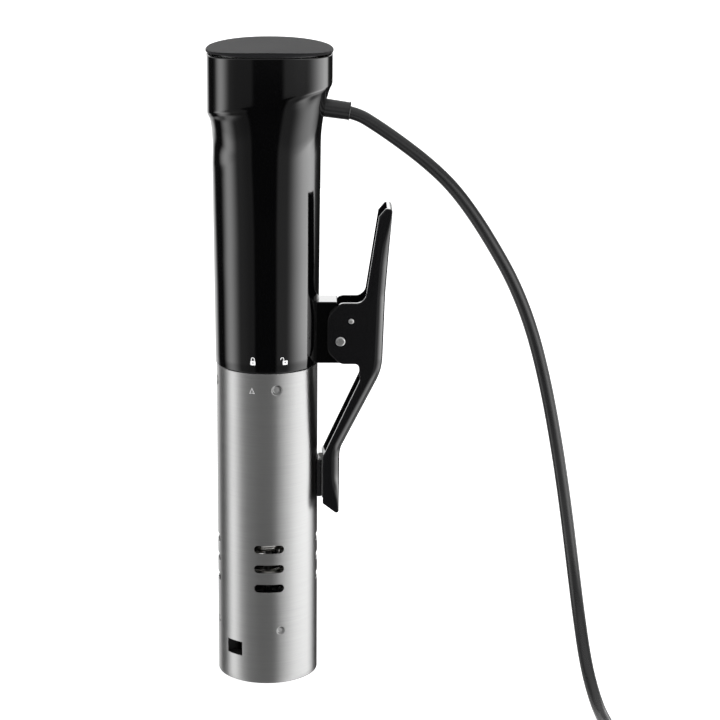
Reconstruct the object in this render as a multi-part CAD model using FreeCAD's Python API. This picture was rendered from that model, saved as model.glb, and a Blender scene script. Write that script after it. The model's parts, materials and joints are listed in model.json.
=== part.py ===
"""Sous vide circulator: oval-headed stick, twist-off steel skirt and a sprung pot clamp.

Millimetres.  The origin is the centre of the skirt's bottom face, +Z runs up the
stick, +X points to the clamp and the cord, and the front of the stick faces -Y.
"""
import FreeCAD, Part
import math
import os

V = FreeCAD.Vector

# ---------------------------------------------------------------- driving dimensions
skirt_radius = 30.0
skirt_wall = 0.6
skirt_length = 193.6
seam_gap = 0.4                 # between the skirt's top edge and the housing
housing_bottom = skirt_length + seam_gap
housing_height = 184.7
housing_top = housing_bottom + housing_height
housing_base_radius = skirt_radius + 0.5
housing_neck_radius = skirt_radius + 1.6
housing_wall = 2.4
head_half_x = 36.3
head_half_y = 34.6
head_shift = 1.9               # the head sits off the stick's axis, towards the cord
head_power = 2.4               # 2 is an ellipse; more makes the head's oval fuller
shoulder_height = housing_top - 25.4    # the slanted crease under the head, at its axis
shoulder_drop = 32.0           # length of the blend below the crease
shoulder_slope = 0.242         # rise of the crease per mm towards +X
# the blend under the crease: height up it, share of the head's spread, share of its shift
blend_steps = ((0.0, 0.0, 0.0), (0.4, 0.11, 0.47), (0.65, 0.30, 0.70), (0.83, 0.53, 0.90),
               (0.93, 0.72, 0.95), (1.0, 1.0, 1.0))
recess_depth = 0.7             # of the strip and the clamp's base, let into the housing
panel_thickness = 2.0
panel_overhang = 0.5
gasket_thickness = 1.1
gasket_inset = 1.4
running_clearance = 0.05
seat_gap = 0.1                 # pieces that seat in one another without turning
soft_gap = 0.3

skirt_clearance = 0.3          # sheet-metal skirt over the plastic collar
collar_radius = skirt_radius - skirt_wall - skirt_clearance
collar_depth = 26.0
collar_wall = 3.7
collar_bore = collar_radius - collar_wall
collar_ledge = 1.4             # the collar's step that the mounting disc seats against
spigot_length = 8.0
spigot_gap = 0.25

lug_radius = 2.95
lug_depth = 1.6
lug_count = 4
lug_height = skirt_length - 10.0
lug_angle = 12.0               # from the front, towards +X
low_dimple_radius = 2.3
low_dimple_depth = 1.0
low_dimple_height = 33.6
low_dimple_angle = 16.0
unlock_turn = 35.0
groove_margin = 0.35

slot_rows = (60.6, 72.9, 85.2)
slot_groups = 4
slot_group_angle = 2.7
slot_half_angle = 17.3
slot_width = 5.0
window_angle = -41.0
window_width = 11.6
window_low = 16.3
window_high = 25.0
cap_thickness = 3.0

shaft_radius = 2.5
shaft_low = 11.0
shaft_seal_radius = shaft_radius + 2.1
disc_thickness = 2.0
disc_level = housing_bottom - collar_depth
coupling_radius = shaft_radius + 3.5
coupling_low = disc_level + 11.0
coupling_high = coupling_low + 15.0
impeller_radius = 18.0
impeller_low = 14.0
impeller_high = 25.5
impeller_blades = 6
clip_height = 13.0

heater_tube_radius = 3.0
heater_coil_radius = 16.5
heater_pitch = 9.0
heater_turns = 11
heater_low = disc_level - 110.0
heater_high = heater_low + heater_pitch * heater_turns
heater_return_radius = shaft_seal_radius + 4.4     # clear of the seal's flange
rod_radius = 1.8
rod_circle = collar_bore - 3.5
rod_angles = (35.0, 155.0, 275.0)
probe_radius = 2.0
probe_angle = 215.0
probe_low = disc_level - 106.0
electrode_radius = 1.4
electrodes = ((75.0, disc_level - 26.0), (110.0, disc_level - 18.0))
bearing_level = 38.0
bearing_thickness = 2.5
bush_radius = shaft_radius + 2.5

motor_plate_thickness = 2.5
motor_low = housing_bottom + 3.0 + motor_plate_thickness
motor_length = 38.0
motor_high = motor_low + motor_length
motor_radius = 18.0
motor_wall = 1.2
motor_bush_radius = shaft_radius + 3.5
motor_screw_circle = 11.5
motor_screw_count = 3
fan_radius = 21.0
fan_height = 8.0
fan_low = motor_high + 4.5
fan_blades = 9

board_thickness = 1.6
board_front = 3.0
board_back = board_front + board_thickness
frame_low = fan_low + fan_height + 4.0
frame_high = frame_low + 82.0
frame_ring = 2.5               # thickness of the chassis ring and of its rails
frame_rail_x = housing_base_radius - housing_wall - 4.1
head_floor = housing_top - 6.5

pivot_x = skirt_radius + 13.3
pivot_z = housing_bottom + 14.4
pivot_radius = 2.9
stop_pin_x = pivot_x + 6.3
stop_pin_z = pivot_z + 12.3
stop_pin_radius = 1.65
lever_half = 11.2
lever_wall = 2.2
lever_gap = 0.3
bracket_half = lever_half - lever_wall - lever_gap
bracket_low = housing_bottom + 0.6
bracket_high = bracket_low + 37.2
bracket_reach = pivot_x - 1.8
lug_boss_radius = 11.0
screw_radius = 1.5
screw_reach = housing_base_radius + 3.0
screw_heights = (bracket_low + 13.0, bracket_high - 6.0)
pad_low = pivot_z - 97.4
pad_high = pad_low + 23.0
pad_half = 7.0
pad_plate_thickness = 0.6
jaw_face = skirt_radius + 3.2

cord_radius = 3.8
boot_radius = cord_radius + 1.95
boot_inner_x = 25.0
boot_outer_x = 48.3
boot_height = shoulder_height - 9.9
boot_fall = 0.14               # the boot points slightly downwards
coil_ring = 41.0
coil_section = 8.2             # three turns side by side
tie_thickness = 0.8
tie_gap = 0.6
coil_height = coil_section + tie_gap + tie_thickness
coil_centre = (155.0, -170.0)
plug_radius = 18.0
plug_length = 32.0
plug_end = (102.0, -214.4, 18.4)
pin_radius = 2.4
pin_length = 19.0
pin_spacing = 19.0


# ---------------------------------------------------------------- helpers
def cylinder(radius, low, high, x=0.0, y=0.0):
    """Upright cylinder between two heights."""
    return Part.makeCylinder(radius, high - low, V(x, y, low))


def tube(outer, inner, low, high, x=0.0, y=0.0):
    """Upright tube between two heights."""
    return cylinder(outer, low, high, x, y).cut(cylinder(inner, low - 1, high + 1, x, y))


def box(x0, x1, y0, y1, z0, z1):
    """Box from its lower and upper limits."""
    return Part.makeBox(x1 - x0, y1 - y0, z1 - z0, V(x0, y0, z0))


def rod(start, end, radius):
    """Round bar between two points."""
    axis = end - start
    return Part.makeCylinder(radius, axis.Length, start, axis)


def turned(shape, degrees):
    """Copy of a shape, turned about the stick's axis."""
    copy = shape.copy()
    copy.rotate(V(0, 0, 0), V(0, 0, 1), degrees)
    return copy


def front(angle, radius, height):
    """Point at an angle from the front (-Y), measured towards +X."""
    turn = math.radians(angle)
    return V(radius * math.sin(turn), -radius * math.cos(turn), height)


def sector(outer, inner, low, high, start, end):
    """Part of a ring between two angles from the front."""
    solid = Part.makeCylinder(outer, high - low, V(0, 0, low), V(0, 0, 1), end - start)
    core = cylinder(inner, low - 1, high + 1)
    return turned(solid, start - 90.0).cut(core)


def joined(shapes):
    """One shape from several that touch."""
    whole = shapes[0].multiFuse(list(shapes[1:])) if len(shapes) > 1 else shapes[0]
    return whole.removeSplitter()


def outline(points):
    """Closed wire from points; a triple of points in a tuple is an arc's middle and end."""
    edges = []
    here = points[0]
    for item in points[1:]:
        if isinstance(item, tuple):
            edges.append(Part.Arc(here, item[0], item[1]).toShape())
            here = item[1]
        else:
            edges.append(Part.LineSegment(here, item).toShape())
            here = item
    if here.distanceToPoint(points[0]) > 1e-6:
        edges.append(Part.LineSegment(here, points[0]).toShape())
    return Part.Wire(edges)


def across(points, half):
    """Prism of an X-Z outline, from -half to +half along Y."""
    flat = Part.Face(outline(points))
    flat.translate(V(0, -half, 0))
    return flat.extrude(V(0, 2 * half, 0))


def rounded(points, radii):
    """X-Z outline with tangent arcs at its corners, as points for outline()."""
    count = len(points)
    result = []
    for index, corner in enumerate(points):
        radius = radii[index]
        here = V(corner[0], 0, corner[1])
        if radius == 0:
            result.append(here)
            continue
        before = V(points[index - 1][0], 0, points[index - 1][1]) - here
        after_point = points[(index + 1) % count]
        after = V(after_point[0], 0, after_point[1]) - here
        before.normalize()
        after.normalize()
        half = math.acos(max(-1.0, min(1.0, before.dot(after)))) / 2.0
        reach = radius / math.tan(half)
        middle_way = (before + after).normalize() * (radius / math.sin(half) - radius)
        result.append(here + before * reach)
        result.append((here + middle_way, here + after * reach))
    return result


# ---------------------------------------------------------------- housing
def section(centre, half_x, half_y, height, slope, power=2.0):
    """Oval section of the housing on a plane that rises towards +X."""
    points = []
    for step in range(32):
        turn = 2.0 * math.pi * step / 32
        reach = (abs(math.cos(turn) / half_x) ** power
                 + abs(math.sin(turn) / half_y) ** power) ** (-1.0 / power)
        x = reach * math.cos(turn)
        points.append(V(centre + x, reach * math.sin(turn), height + slope * x))
    curve = Part.BSplineCurve()
    curve.interpolate(Points=points, PeriodicFlag=True)
    return Part.Wire(curve.toShape())


def housing_body(inset, low, high):
    """Outer form of the housing, drawn in by an inset: taper, slanted blend and oval head."""
    neck = housing_neck_radius - inset
    taper = ((housing_neck_radius - housing_base_radius)
             / (shoulder_height - shoulder_drop - housing_bottom))
    base = housing_base_radius - inset - taper * (housing_bottom - low)
    wires = [section(0, base, base, low, 0)]
    for rise, spread, shift in blend_steps:
        half_x = neck + (head_half_x - inset - neck) * spread
        half_y = neck + (head_half_y - inset - neck) * spread
        height = shoulder_height - shoulder_drop * (1.0 - rise)
        wires.append(section(head_shift * shift, half_x, half_y, height, shoulder_slope,
                             2.0 + (head_power - 2.0) * spread))
    wires.append(section(head_shift, head_half_x - inset, head_half_y - inset, high, 0,
                         head_power))
    return Part.makeLoft(wires, True, True)


narrow_half = 9.7
flange_half = bracket_half + 6.9


def spine_outline(margin):
    """Tapered strip down the cord side, from below the head to the clamp's base."""
    low, shoulder = bracket_high + 1.0 + margin, housing_bottom + 96.0
    top = shoulder + narrow_half + 0.3 - margin
    wide, narrow = flange_half + 0.4 - margin, narrow_half - margin
    return outline([V(20, -wide, low), V(20, -narrow, shoulder),
                    (V(20, 0, top), V(20, narrow, shoulder)), V(20, wide, low)])


def flange_outline(margin):
    """Waisted base of the clamp's bracket."""
    low, high = bracket_low - 0.2 + margin, bracket_high + 0.6 - margin
    top_half, waist = bracket_half + 5.3 - margin, bracket_half + 2.1 - margin
    foot, base = flange_half - margin, bracket_half + 3.8 - margin
    middle = (low + high) / 2.0
    left = [V(20, -top_half, high), (V(20, -waist, middle), V(20, -foot, low + 4.0))]
    right = [V(20, base, low), V(20, foot, low + 4.0),
             (V(20, waist, middle), V(20, top_half, high))]
    return outline(left + [V(20, -base, low)] + right)


HOUSING = housing_body(0, housing_bottom, housing_top)
RECESS_FLOOR = housing_body(recess_depth, housing_bottom - 1, housing_top + 1)
INLAY_FLOOR = housing_body(recess_depth - 0.1, housing_bottom - 1, housing_top + 1)
SPINE_ZONE = Part.Face(spine_outline(0)).extrude(V(30, 0, 0))
FLANGE_ZONE = Part.Face(flange_outline(0)).extrude(V(30, 0, 0))


def boot_axis(x):
    """Point on the strain relief's axis."""
    return V(x, 0, boot_height + boot_fall * (boot_outer_x - x))


def housing_shell():
    """Gloss outer case, open below for the collar and above for the panel."""
    cavity = housing_body(housing_wall, housing_bottom - 1, housing_top + 1)
    shell = HOUSING.cut(cavity)
    for low, high in ((frame_low - 1.6, frame_low), (head_floor - 4.6, head_floor - 3.0)):
        slice_box = box(-60, 60, -60, 60, low, high)
        ledge = housing_body(housing_wall - 0.3, housing_bottom, housing_top).common(slice_box)
        shell = shell.fuse(ledge.cut(housing_body(housing_wall + 1.4, housing_bottom - 1,
                                                  housing_top + 1)))
    for zone in (SPINE_ZONE, FLANGE_ZONE):
        shell = shell.cut(zone.cut(RECESS_FLOOR))
    hole = rod(boot_axis(boot_inner_x), boot_axis(boot_outer_x), boot_radius + seat_gap)
    shell = shell.cut(hole)
    for height in screw_heights:
        shell = shell.cut(rod(V(20, 0, height), V(40, 0, height), screw_radius + seat_gap))
    return shell


def spine_cover():
    """Inlaid strip over the cable channel."""
    strip = Part.Face(spine_outline(0.15)).extrude(V(30, 0, 0))
    return strip.common(housing_body(0.2, housing_bottom, housing_top)).cut(INLAY_FLOOR)


def head_disc(inset, low, high):
    """Oval disc in the head."""
    flat = Part.Face(section(head_shift, head_half_x - inset, head_half_y - inset, low, 0,
                             head_power))
    return flat.extrude(V(0, 0, high - low))


def top_panel():
    """Touch panel that closes the head."""
    low = housing_top + gasket_thickness
    panel = head_disc(-panel_overhang, low, low + panel_thickness)
    return panel.makeFillet(0.5, [edge for edge in panel.Edges if edge.Closed])


def panel_gasket():
    """Seal that leaves the shadow line under the panel."""
    low = housing_top
    ring = head_disc(gasket_inset, low, low + gasket_thickness)
    return ring.cut(head_disc(gasket_inset + 2.5, low - 1, low + 2))


# ---------------------------------------------------------------- boards and frame
def display_board():
    """Touch and display board, seated on the carrier."""
    return head_disc(housing_wall + 1.2, head_floor, head_floor + board_thickness)


def display_carrier():
    """Ring that carries the display board in the head."""
    rim = head_disc(housing_wall + seat_gap, head_floor - 3.0, head_floor)
    rim = rim.cut(head_disc(housing_wall + 5.0, head_floor - 4, head_floor + 1))
    return rim


def display_module():
    """Digit display on its board, under the panel's window."""
    low = head_floor + board_thickness
    return box(-18, 20, -9, 9, low, low + 4.0)


def inner_frame():
    """Chassis: a ring over the fan and two rails that hold the power board."""
    floor_radius = housing_base_radius + 0.25 - housing_wall - seat_gap
    base = frame_low + frame_ring
    ring = tube(floor_radius, fan_radius + 0.5, frame_low, base)
    rails = [box(x, x + frame_ring, board_front - 2, board_back + 3.4, base, frame_high)
             for x in (-frame_rail_x - frame_ring, frame_rail_x)]
    bars = [box(-frame_rail_x, frame_rail_x, board_back + seat_gap, board_back + 3.4, z, z + 3)
            for z in (base, frame_high - 3)]
    return joined([ring] + rails + bars)


def power_board():
    """Mains board across the housing."""
    return box(-frame_rail_x + seat_gap, frame_rail_x - seat_gap, board_front, board_back,
               frame_low + frame_ring + 0.5, frame_high)


def capacitors():
    """Three electrolytic cans standing off the board."""
    cans = []
    for x, rise, radius in ((-15, 12, 6.0), (-15, 27, 6.0), (12, 46, 4.5)):
        root = V(x, board_front, frame_low + rise)
        cans.append(rod(root, root - V(0, 16, 0), radius))
    return Part.Compound(cans)


def transformer():
    """Small supply transformer."""
    return box(-3, 17, board_front - 17, board_front, frame_low + 8, frame_low + 26)


def relay():
    """Heater relay."""
    return box(-20, -4, board_front - 14, board_front, frame_low + 38, frame_low + 64)


def terminal_block():
    """Block where the cord's wires end."""
    return box(6, 22, board_front - 11, board_front, frame_low + 60, frame_low + 72)


def heat_sink():
    """Finned sink of the heater's switch, behind the board."""
    low, high = frame_low + 16, frame_low + 61
    base = box(-14, 14, board_back, board_back + 2.5, low, high)
    fins = [box(x, x + 1.4, board_back + 2.5, board_back + 12.0, low, high)
            for x in (-14, -8.6, -3.2, 2.2, 7.6, 12.6)]
    return joined([base] + fins)


# ---------------------------------------------------------------- motor and drive
def motor_screw_spots():
    """Axes of the motor's screws."""
    return [front(step * 360.0 / motor_screw_count + 60, motor_screw_circle, 0)
            for step in range(motor_screw_count)]


def motor_plate():
    """Plate that carries the motor over the collar."""
    low = motor_low - motor_plate_thickness
    plate = tube(collar_bore - collar_ledge - seat_gap, motor_bush_radius + seat_gap, low,
                 motor_low)
    for spot in motor_screw_spots():
        plate = plate.cut(cylinder(1.6, low - 1, motor_low + 1, spot.x, spot.y))
    return plate


def motor_screws():
    """Three screws through the motor plate."""
    screws = []
    low = motor_low - motor_plate_thickness
    for spot in motor_screw_spots():
        head = cylinder(2.7, low - 2.0, low, spot.x, spot.y)
        screws.append(head.fuse(cylinder(1.5, low - 0.5, motor_low + 0.9, spot.x, spot.y)))
    return Part.Compound(screws)


def motor_case():
    """Drawn steel can."""
    can = tube(motor_radius, motor_radius - motor_wall, motor_low, motor_high)
    floor_plate = tube(motor_radius - 0.5, motor_bush_radius + seat_gap, motor_low,
                       motor_low + motor_wall)
    for spot in motor_screw_spots():
        floor_plate = floor_plate.cut(cylinder(1.6, 0, housing_top, spot.x, spot.y))
    return joined([can, floor_plate])


def motor_end_cap():
    """Plastic end cap with the brush holders."""
    cap = tube(motor_radius, motor_bush_radius + seat_gap, motor_high, motor_high + 2.5)
    holders = [box(side * 11 - 2.5, side * 11 + 2.5, -3, 3, motor_high - 5, motor_high)
               for side in (-1, 1)]
    return joined([cap] + holders)


def motor_magnets():
    """Pair of ferrite arcs in the can."""
    arcs = [sector(motor_radius - motor_wall - seat_gap, 14.4, motor_low + 4, motor_high - 6,
                   start, start + 150) for start in (15, 195)]
    return Part.Compound(arcs)


def motor_bearings():
    """Two sintered bushes, one in each end of the motor."""
    bore = shaft_radius + running_clearance
    lower = tube(motor_bush_radius, bore, motor_low - motor_plate_thickness,
                 motor_low + motor_wall)
    upper = tube(motor_bush_radius, bore, motor_high, motor_high + 2.5)
    return Part.Compound([lower, upper])


def motor_rotor():
    """Wound armature on the motor's own shaft."""
    stack = cylinder(13.6, motor_low + 6, motor_high - 9)
    for step in range(8):
        gap = front(step * 45, 13.6, 0)
        stack = stack.cut(cylinder(1.6, motor_low, motor_high, gap.x, gap.y))
    commutator = cylinder(5.0, motor_high - 9, motor_high - 1.5)
    shaft = cylinder(shaft_radius, shaft_join, fan_low + fan_height + 1.5)
    return joined([shaft, stack, commutator])


shaft_join = (coupling_low + coupling_high) / 2.0 + 0.2


def cooling_fan():
    """Fan on the motor's upper shaft end."""
    hub = tube(shaft_radius + 3.0, shaft_radius, fan_low, fan_low + fan_height)
    plate = tube(fan_radius, shaft_radius + 2.5, fan_low, fan_low + 1.2)
    blades = []
    for step in range(fan_blades):
        blade = box(shaft_radius + 2.7, fan_radius - 0.4, -0.6, 0.6, fan_low + 1.0, fan_low + fan_height)
        blades.append(turned(blade, step * 360.0 / fan_blades))
    return joined([hub, plate] + blades)


def drive_shaft():
    """Long stainless shaft down to the impeller, grooved for its clip."""
    shaft = cylinder(shaft_radius, shaft_low, shaft_join - 0.4)
    groove = tube(shaft_radius + 1, shaft_radius - 0.6, clip_height - 0.9, clip_height)
    return shaft.cut(groove)


def shaft_coupling():
    """Sleeve that joins the motor's shaft to the long shaft."""
    sleeve = tube(coupling_radius, shaft_radius, coupling_low, coupling_high)
    for height in (coupling_low + 3.5, coupling_high - 3.5):
        sleeve = sleeve.cut(rod(V(shaft_radius + 0.5, 0, height),
                                V(coupling_radius + 2, 0, height), 1.2))
    return sleeve


def impeller():
    """Pump wheel with curved blades under a disc."""
    hub = tube(shaft_radius + 2.0, shaft_radius, impeller_low, impeller_high)
    disc = tube(impeller_radius, shaft_radius + 1.5, impeller_high - 1.4, impeller_high)
    blades = []
    for step in range(impeller_blades):
        arc = tube(11.0, 9.8, impeller_low, impeller_high - 1.0, 11.5, 0)
        arc = arc.common(cylinder(impeller_radius, 0, 60)).common(box(0, 30, -20, 0, 0, 60))
        arc = arc.cut(cylinder(shaft_radius + 1.7, 0, 60))
        blades.append(turned(arc, step * 360.0 / impeller_blades))
    return joined([hub, disc] + blades)


def retaining_clip():
    """Open clip under the impeller."""
    ring = tube(shaft_radius + 1.7, shaft_radius - 0.6, clip_height - 0.8, clip_height - 0.1)
    return ring.cut(box(0, 6, -1.2, 1.2, 0, 20))


# ---------------------------------------------------------------- collar and wet parts
def bayonet_collar():
    """Collar that the skirt slides over, with one L-shaped groove for each lug."""
    collar = cylinder(collar_radius, disc_level - 0.5, housing_bottom)
    spigot_radius = housing_base_radius - housing_wall - spigot_gap
    collar = collar.fuse(cylinder(spigot_radius, housing_bottom, housing_bottom + spigot_length))
    collar = collar.cut(cylinder(collar_bore, 0, disc_level + disc_thickness + 0.6))
    collar = collar.cut(cylinder(collar_bore - collar_ledge, 0, housing_top))
    half_height = lug_sphere_half + groove_margin
    half_angle = math.degrees(half_height / collar_radius)
    floor = collar_radius - lug_depth - groove_margin - skirt_wall * 0.5
    for step in range(lug_count):
        start = lug_angle + step * 360.0 / lug_count - half_angle
        end = start + 2 * half_angle + unlock_turn
        run = sector(collar_radius + 1, floor, lug_height - half_height,
                     lug_height + half_height, start, end)
        entry = sector(collar_radius + 1, floor, disc_level - 2, lug_height,
                       end - 2 * half_angle, end)
        collar = collar.cut(run).cut(entry)
    return collar.removeSplitter()


def bowl(radius, depth):
    """Sphere radius and centre distance of a pressed dimple."""
    sphere = (radius ** 2 + depth ** 2) / (2.0 * depth)
    return sphere, skirt_radius + sphere - depth


lug_sphere, lug_centre = bowl(lug_radius, lug_depth)
lug_sphere_half = math.sqrt((lug_sphere + skirt_wall) ** 2 - (lug_centre - collar_radius) ** 2)


def mounting_disc():
    """Stainless disc that closes the dry end and carries the wet parts."""
    disc = cylinder(collar_bore - seat_gap, disc_level, disc_level + disc_thickness)
    disc = disc.cut(cylinder(shaft_seal_radius + seat_gap, 0, housing_top))
    for spot, radius in disc_holes():
        disc = disc.cut(cylinder(radius + seat_gap, 0, housing_top, spot.x, spot.y))
    return disc


def disc_holes():
    """Each hole of the mounting disc, with what passes through it."""
    holes = [(front(angle, rod_circle, 0), rod_radius) for angle in rod_angles]
    holes.append((front(probe_angle, rod_circle, 0), probe_radius))
    holes += [(front(angle, rod_circle, 0), electrode_radius) for angle, _ in electrodes]
    holes.append((V(heater_coil_radius, 0, 0), heater_tube_radius))
    holes.append((V(heater_return_radius, 0, 0), heater_tube_radius))
    return holes


def disc_seal():
    """Seal between the disc and the collar's ledge."""
    low = disc_level + disc_thickness
    return tube(collar_bore - seat_gap, collar_bore - collar_ledge + seat_gap, low, low + 0.6)


def shaft_seal():
    """Lip seal round the shaft."""
    body = tube(shaft_seal_radius, shaft_radius + running_clearance, disc_level - 1.0,
                disc_level + disc_thickness + 3.0)
    rim = tube(shaft_seal_radius + 1.0, shaft_seal_radius - 0.5, disc_level + disc_thickness,
               disc_level + disc_thickness + 1.2)
    return joined([body, rim])


def heater_coil():
    """Tubular heater: a coil round the shaft with both ends brought up through the disc."""
    path = Part.makeHelix(heater_pitch, heater_high - heater_low, heater_coil_radius)
    path.translate(V(0, 0, heater_low))
    start = V(heater_coil_radius, 0, heater_low)
    rise = heater_pitch / (2.0 * math.pi * heater_coil_radius)
    profile = Part.Wire(Part.Circle(start, V(0, 1, rise), heater_tube_radius).toShape())
    coil = Part.Wire(path.Edges).makePipeShell([profile], True, True)
    leg_top = disc_level + disc_thickness + 6.0
    outer_end = V(heater_coil_radius, 0, heater_high)
    inner_end = V(heater_return_radius, 0, heater_low)
    pieces = [coil,
              Part.makeSphere(heater_tube_radius, outer_end),
              rod(outer_end, V(heater_coil_radius, 0, leg_top), heater_tube_radius),
              Part.makeSphere(heater_tube_radius, start),
              rod(start, inner_end, heater_tube_radius),
              Part.makeSphere(heater_tube_radius, inner_end),
              rod(inner_end, V(heater_return_radius, 0, leg_top), heater_tube_radius)]
    return pieces[0].multiFuse(pieces[1:])


def temperature_probe():
    """Closed probe tube with a round tip."""
    spot = front(probe_angle, rod_circle, 0)
    stem = cylinder(probe_radius, probe_low, disc_level + disc_thickness + 3, spot.x, spot.y)
    return joined([stem, Part.makeSphere(probe_radius, V(spot.x, spot.y, probe_low))])


def level_electrodes():
    """Two water-level pins of different length."""
    pins = []
    for angle, low in electrodes:
        spot = front(angle, rod_circle, 0)
        pins.append(cylinder(electrode_radius, low, disc_level + disc_thickness + 3,
                             spot.x, spot.y))
    return Part.Compound(pins)


def pump_rods():
    """Three rods that hold the lower bearing plate."""
    rods = []
    for angle in rod_angles:
        spot = front(angle, rod_circle, 0)
        rods.append(cylinder(rod_radius, bearing_level, disc_level + disc_thickness + 2.5,
                             spot.x, spot.y))
    return Part.Compound(rods)


def rod_nuts():
    """Nuts of the three rods, above the disc and below the plate."""
    nuts = []
    for angle in rod_angles:
        spot = front(angle, rod_circle, 0)
        low = bearing_level + bearing_thickness
        nuts.append(tube(3.0, rod_radius + seat_gap, low, low + 2.2, spot.x, spot.y))
        low = disc_level - 2.2
        nuts.append(tube(2.7, rod_radius + seat_gap, low, low + 2.2, spot.x, spot.y))
    return Part.Compound(nuts)


def bearing_plate():
    """Spoked plate near the impeller."""
    low, high = bearing_level, bearing_level + bearing_thickness
    rim = tube(rod_circle + 5.1, rod_circle - 1.5, low, high)
    hub = cylinder(bush_radius + 3.0, low, high)
    spokes = [turned(box(bush_radius + 1, rod_circle, -2.5, 2.5, low, high), angle - 90)
              for angle in rod_angles]
    plate = joined([rim, hub] + spokes).cut(cylinder(bush_radius + seat_gap, 0, housing_top))
    for angle in rod_angles:
        spot = front(angle, rod_circle, 0)
        plate = plate.cut(cylinder(rod_radius + seat_gap, 0, housing_top, spot.x, spot.y))
    return plate


def lower_bush():
    """Flanged bush that steadies the shaft."""
    body = tube(bush_radius, shaft_radius + running_clearance, bearing_level - 2.0,
                bearing_level + bearing_thickness)
    rim = tube(bush_radius + 1.5, shaft_radius + running_clearance, bearing_level - 2.0, bearing_level)
    return joined([body, rim])


# ---------------------------------------------------------------- skirt
def slot_cutter(angle, height):
    """Round-ended slot along the skirt's girth."""
    reach = math.radians(slot_half_angle) * skirt_radius - slot_width / 2.0
    tip = math.degrees(reach / skirt_radius)
    half = slot_width / 2.0
    band = sector(skirt_radius + 2, skirt_radius - 3, height - half, height + half,
                  angle - tip, angle + tip)
    ends = [rod(front(side, skirt_radius - 4, height), front(side, skirt_radius + 2, height),
                half) for side in (angle - tip, angle + tip)]
    return band.multiFuse(ends)


def dimple(shape, radius, depth, angle, height):
    """Press one dimple into the skirt."""
    sphere, centre = bowl(radius, depth)
    spot = front(angle, centre, height)
    bump = Part.makeSphere(sphere + skirt_wall, spot)
    bump = bump.common(cylinder(skirt_radius - skirt_wall / 2, height - 10, height + 10))
    return shape.fuse(bump).cut(Part.makeSphere(sphere, spot))


def steel_skirt():
    """Brushed steel tube with water slots, outlet window and pressed lugs."""
    skirt = tube(skirt_radius, skirt_radius - skirt_wall, 0, skirt_length)
    for step in range(slot_groups):
        for height in slot_rows:
            skirt = skirt.cut(slot_cutter(slot_group_angle + step * 360.0 / slot_groups, height))
    half = math.degrees(window_width / 2.0 / skirt_radius)
    skirt = skirt.cut(sector(skirt_radius + 2, skirt_radius - 3, window_low, window_high,
                             window_angle - half, window_angle + half))
    for step in range(lug_count):
        turn = step * 360.0 / lug_count
        skirt = dimple(skirt, lug_radius, lug_depth, lug_angle + turn, lug_height)
        skirt = dimple(skirt, low_dimple_radius, low_dimple_depth,
                       low_dimple_angle + turn, low_dimple_height)
    return skirt


def base_cap():
    """Inlet grille that closes the skirt's lower end."""
    cap = cylinder(skirt_radius - skirt_wall - seat_gap, 0, cap_thickness)
    for radius, count in ((8.0, 6), (14.0, 10)):
        for step in range(count):
            spot = front(step * 360.0 / count, radius, 0)
            cap = cap.cut(cylinder(2.1, -1, cap_thickness + 1, spot.x, spot.y))
    return cap


def pump_volute():
    """Ring round the impeller that leads the flow to the window."""
    outer, inner = impeller_radius + 5.5, impeller_radius + 3.5
    ring = tube(outer, inner, cap_thickness, window_high + 2.0)
    half = math.degrees(window_width / 2.0 / skirt_radius)
    start, end = window_angle - half - 4, window_angle + half + 4
    ring = ring.cut(sector(outer + 1.5, inner - 1.5, window_low - 0.8, window_high + 0.8,
                           start, end))
    roof = tube(outer, impeller_radius + 1.4, window_high + 2.0, window_high + 3.2)
    duct = sector(skirt_radius - skirt_wall - 1.0, outer - 0.5, window_low - 2.0,
                  window_high + 2.0, start - 1.5, end + 1.5)
    duct = duct.cut(sector(skirt_radius, inner - 1.5, window_low - 0.8, window_high + 0.8, start, end))
    return joined([ring, roof, duct])


# ---------------------------------------------------------------- clamp
def clamp_bracket():
    """Fixed arm of the clamp on its waisted base."""
    base = Part.Face(flange_outline(0.15)).extrude(V(30, 0, 0)).common(HOUSING)
    arm = box(26, bracket_reach, -bracket_half, bracket_half, bracket_low, bracket_high)
    step = box(bracket_reach - 2, pivot_x, -bracket_half, bracket_half, bracket_low,
               pivot_z + lug_boss_radius)
    boss = Part.makeCylinder(lug_boss_radius, 2 * bracket_half, V(pivot_x, -bracket_half, pivot_z),
                             V(0, 1, 0))
    low_corner = box(bracket_reach - 2, pivot_x, -bracket_half, bracket_half,
                     bracket_low, pivot_z)
    bracket = joined([base, arm, boss, step.common(boss.fuse(low_corner)), low_corner])
    bracket = bracket.cut(INLAY_FLOOR)
    half = bracket_half - 4.1
    slot = box(screw_reach + 0.5, 60, -half, half, pivot_z - 10.5, pivot_z + 10.5)
    slot = slot.fuse(box(bracket_reach, 60, -half, half, bracket_low - 1, bracket_high + 1))
    bore = Part.makeCylinder(pivot_radius, 40, V(pivot_x, -20, pivot_z), V(0, 1, 0))
    bracket = bracket.cut(slot).cut(bore)
    for height in screw_heights:
        bracket = bracket.cut(rod(V(20, 0, height), V(screw_reach, 0, height),
                                  screw_radius + seat_gap))
    return bracket.removeSplitter()


def bracket_screws():
    """Two screws from inside the housing into the bracket."""
    screws = []
    inner = housing_base_radius - housing_wall
    for height in screw_heights:
        head = rod(V(inner - 2.2, 0, height), V(inner - 0.15, 0, height), 2.6)
        shank = rod(V(inner - 1.0, 0, height), V(screw_reach - 0.3, 0, height), screw_radius)
        screws.append(head.fuse(shank))
    return Part.Compound(screws)


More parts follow.
